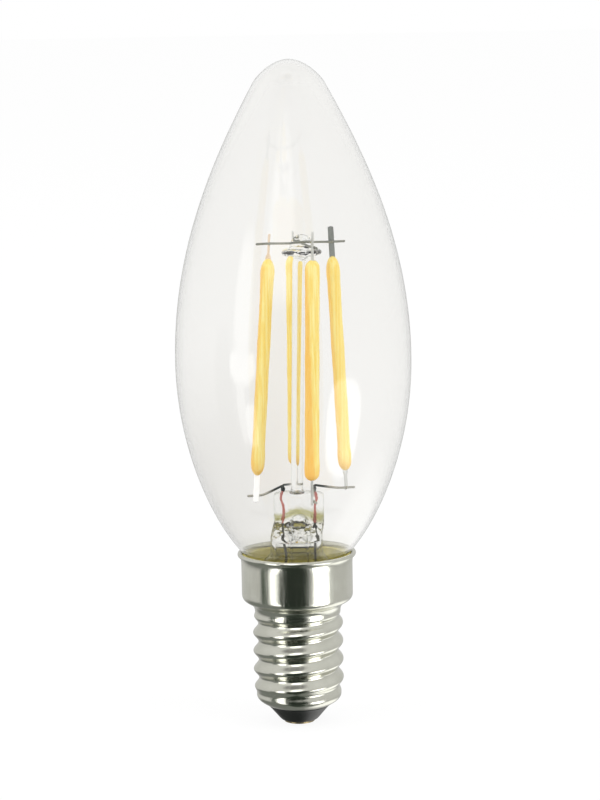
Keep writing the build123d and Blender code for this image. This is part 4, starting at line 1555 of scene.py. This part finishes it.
def add_mirrored_studio():
    """A glowing sphere that is seen only in reflections.

    A direction of 0 degrees is towards the camera and 90 is to the right.
    """
    columns, rows, radius, middle = 240, 121, 1.5, 0.05
    azimuth, elevation = np.meshgrid(
        np.linspace(-180.0, 180.0, columns, endpoint=False), np.linspace(-90.0, 90.0, rows)
    )
    turn, tilt = np.radians(azimuth), np.radians(elevation)
    x = radius * np.cos(tilt) * np.sin(turn)
    y = -radius * np.cos(tilt) * np.cos(turn)
    grid = np.stack([x, y, middle + radius * np.sin(tilt)], -1)
    mesh = bpy.data.meshes.new("mirrored_studio")
    mesh.from_pydata(grid.reshape(-1, 3).tolist(), [], quads(rows, columns).tolist())
    level = mesh.attributes.new("level", "FLOAT", "POINT")
    level.data.foreach_set("value", mirrored_level(azimuth, elevation).ravel().astype(np.float32))
    mesh.materials.append(mirrored_light())
    dome = bpy.data.objects.new("mirrored_studio", mesh)
    for ray in ("visible_camera", "visible_diffuse", "visible_transmission", "visible_shadow"):
        setattr(dome, ray, False)
    bpy.context.scene.collection.objects.link(dome)


def floor_material(colour):
    """A pale floor that shows white to the camera and still takes shadows."""
    material, shader = new_material("pale_floor")
    tree = material.node_tree
    shader.inputs["Base Color"].default_value = rgba(colour)
    shader.inputs["Roughness"].default_value = 0.9
    shader.inputs["Specular IOR Level"].default_value = 0.0
    white = tree.nodes.new("ShaderNodeEmission")
    white.inputs["Strength"].default_value = 1.03
    seen = either_ray(tree, "Is Camera Ray", "Is Transmission Ray")
    show_instead(tree, shader, white, calculated(tree, "MULTIPLY", seen, 0.88))
    return material


class BULB_OT_studio(bpy.types.Operator):
    """Sets up the floor, the lamps, what the bulb mirrors and the camera"""

    bl_idname = "bulb.studio"
    bl_label = "Studio"

    def execute(self, context):
        stage = context.scene.bulb_stage
        scene = context.scene
        mesh = bpy.data.meshes.new("floor")
        half = 12.0
        corners = [(-half, -half, 0.0), (half, -half, 0.0), (half, half, 0.0), (-half, half, 0.0)]
        mesh.from_pydata(corners, [], [(0, 1, 2, 3)])
        mesh.materials.append(floor_material(stage.floor))
        floor = bpy.data.objects.new("floor", mesh)
        floor.visible_glossy = False
        scene.collection.objects.link(floor)
        add_mirrored_studio()
        key = add_light("key_right", (1.1, -0.7, 1.0), (0.0, 0.0, 0.05), (1.0, 1.0), stage.key)
        fill = add_light("fill_left", (-1.2, -0.5, 0.8), (0.0, 0.0, 0.05), (1.0, 1.0), stage.fill)
        for lamp in (key, fill):
            lamp.visible_glossy = False
            lamp.visible_transmission = False
            lamp.visible_camera = False
        self.surround(scene, stage.sky)
        self.camera(scene, stage)
        scene.view_settings.view_transform = "Standard"
        return {"FINISHED"}

    def surround(self, scene, strength):
        """An even surround that shows white behind and in the glass."""
        world = bpy.data.worlds.new("surround")
        scene.world = world
        world.use_nodes = True
        tree = world.node_tree
        back = tree.nodes["Background"]
        back.inputs["Color"].default_value = (1.0, 1.0, 1.0, 1.0)
        seen = either_ray(tree, "Is Camera Ray", "Is Transmission Ray")
        mirrored = tree.nodes.new("ShaderNodeLightPath").outputs["Is Glossy Ray"]
        white = calculated(tree, "MAXIMUM", seen, mirrored)
        tree.links.new(stretched(tree, white, {"To Min": strength, "To Max": 1.0}), back.inputs["Strength"])

    def camera(self, scene, stage):
        """A camera in front of the bulb, tilted down by the pitch and rolled."""
        data = bpy.data.cameras.new("camera")
        data.lens = stage.lens
        data.clip_start = 0.01
        camera = bpy.data.objects.new("camera", data)
        tilt = Matrix.Rotation(np.radians(90.0 - stage.pitch), 4, "X")
        roll = Matrix.Rotation(np.radians(-stage.roll), 4, "Z")
        place = Matrix.Translation((0.0009, -stage.distance, stage.height))
        camera.matrix_world = place @ tilt @ roll
        scene.collection.objects.link(camera)
        scene.camera = camera


# The operators that follow each group of settings
PANEL_BOXES = {
    "bulb_glass": ["bulb.glass"],
    "bulb_stem": ["bulb.stem", "bulb.exhaust", "bulb.rod"],
    "bulb_filament": ["bulb.filaments"],
    "bulb_wire": ["bulb.wires"],
    "bulb_cap": ["bulb.shell", "bulb.insulator", "bulb.inside_parts"],
    "bulb_stage": ["bulb.studio"],
}


class BULB_PT_panel(bpy.types.Panel):
    """Lists the bulb's pieces under the sizes and colours that they follow"""

    bl_label = "Filament Bulb"
    bl_idname = "BULB_PT_panel"
    bl_space_type = "VIEW_3D"
    bl_region_type = "UI"
    bl_category = "Bulb"

    def draw(self, context):
        for holder, operators in PANEL_BOXES.items():
            box = self.layout.box()
            for operator in operators:
                box.operator(operator)
            settings = getattr(context.scene, holder)
            for name in settings.__annotations__:
                box.prop(settings, name)


HOLDERS = {
    "bulb_glass": BulbGlassSettings,
    "bulb_stem": BulbStemSettings,
    "bulb_filament": BulbFilamentSettings,
    "bulb_wire": BulbWireSettings,
    "bulb_cap": BulbCapSettings,
    "bulb_stage": BulbStageSettings,
}
CLASSES = list(HOLDERS.values()) + [
    BULB_OT_glass,
    BULB_OT_stem,
    BULB_OT_exhaust,
    BULB_OT_rod,
    BULB_OT_shell,
    BULB_OT_insulator,
    BULB_OT_wires,
    BULB_OT_filaments,
    BULB_OT_inside_parts,
    BULB_OT_studio,
    BULB_PT_panel,
]


def register():
    """Makes the settings, operators and panel known."""
    for item in CLASSES:
        bpy.utils.register_class(item)
    for name, kind in HOLDERS.items():
        setattr(bpy.types.Scene, name, bpy.props.PointerProperty(type=kind))


def unregister():
    """Takes them away again."""
    for name in HOLDERS:
        delattr(bpy.types.Scene, name)
    for item in reversed(CLASSES):
        bpy.utils.unregister_class(item)


def main():
    """Builds every piece."""
    register()
    bpy.ops.bulb.glass()
    bpy.ops.bulb.stem()
    bpy.ops.bulb.exhaust()
    bpy.ops.bulb.rod()
    bpy.ops.bulb.shell()
    bpy.ops.bulb.insulator()
    bpy.ops.bulb.wires()
    bpy.ops.bulb.filaments()
    bpy.ops.bulb.inside_parts()
    bpy.ops.bulb.studio()


if __name__ == "__main__":
    main()
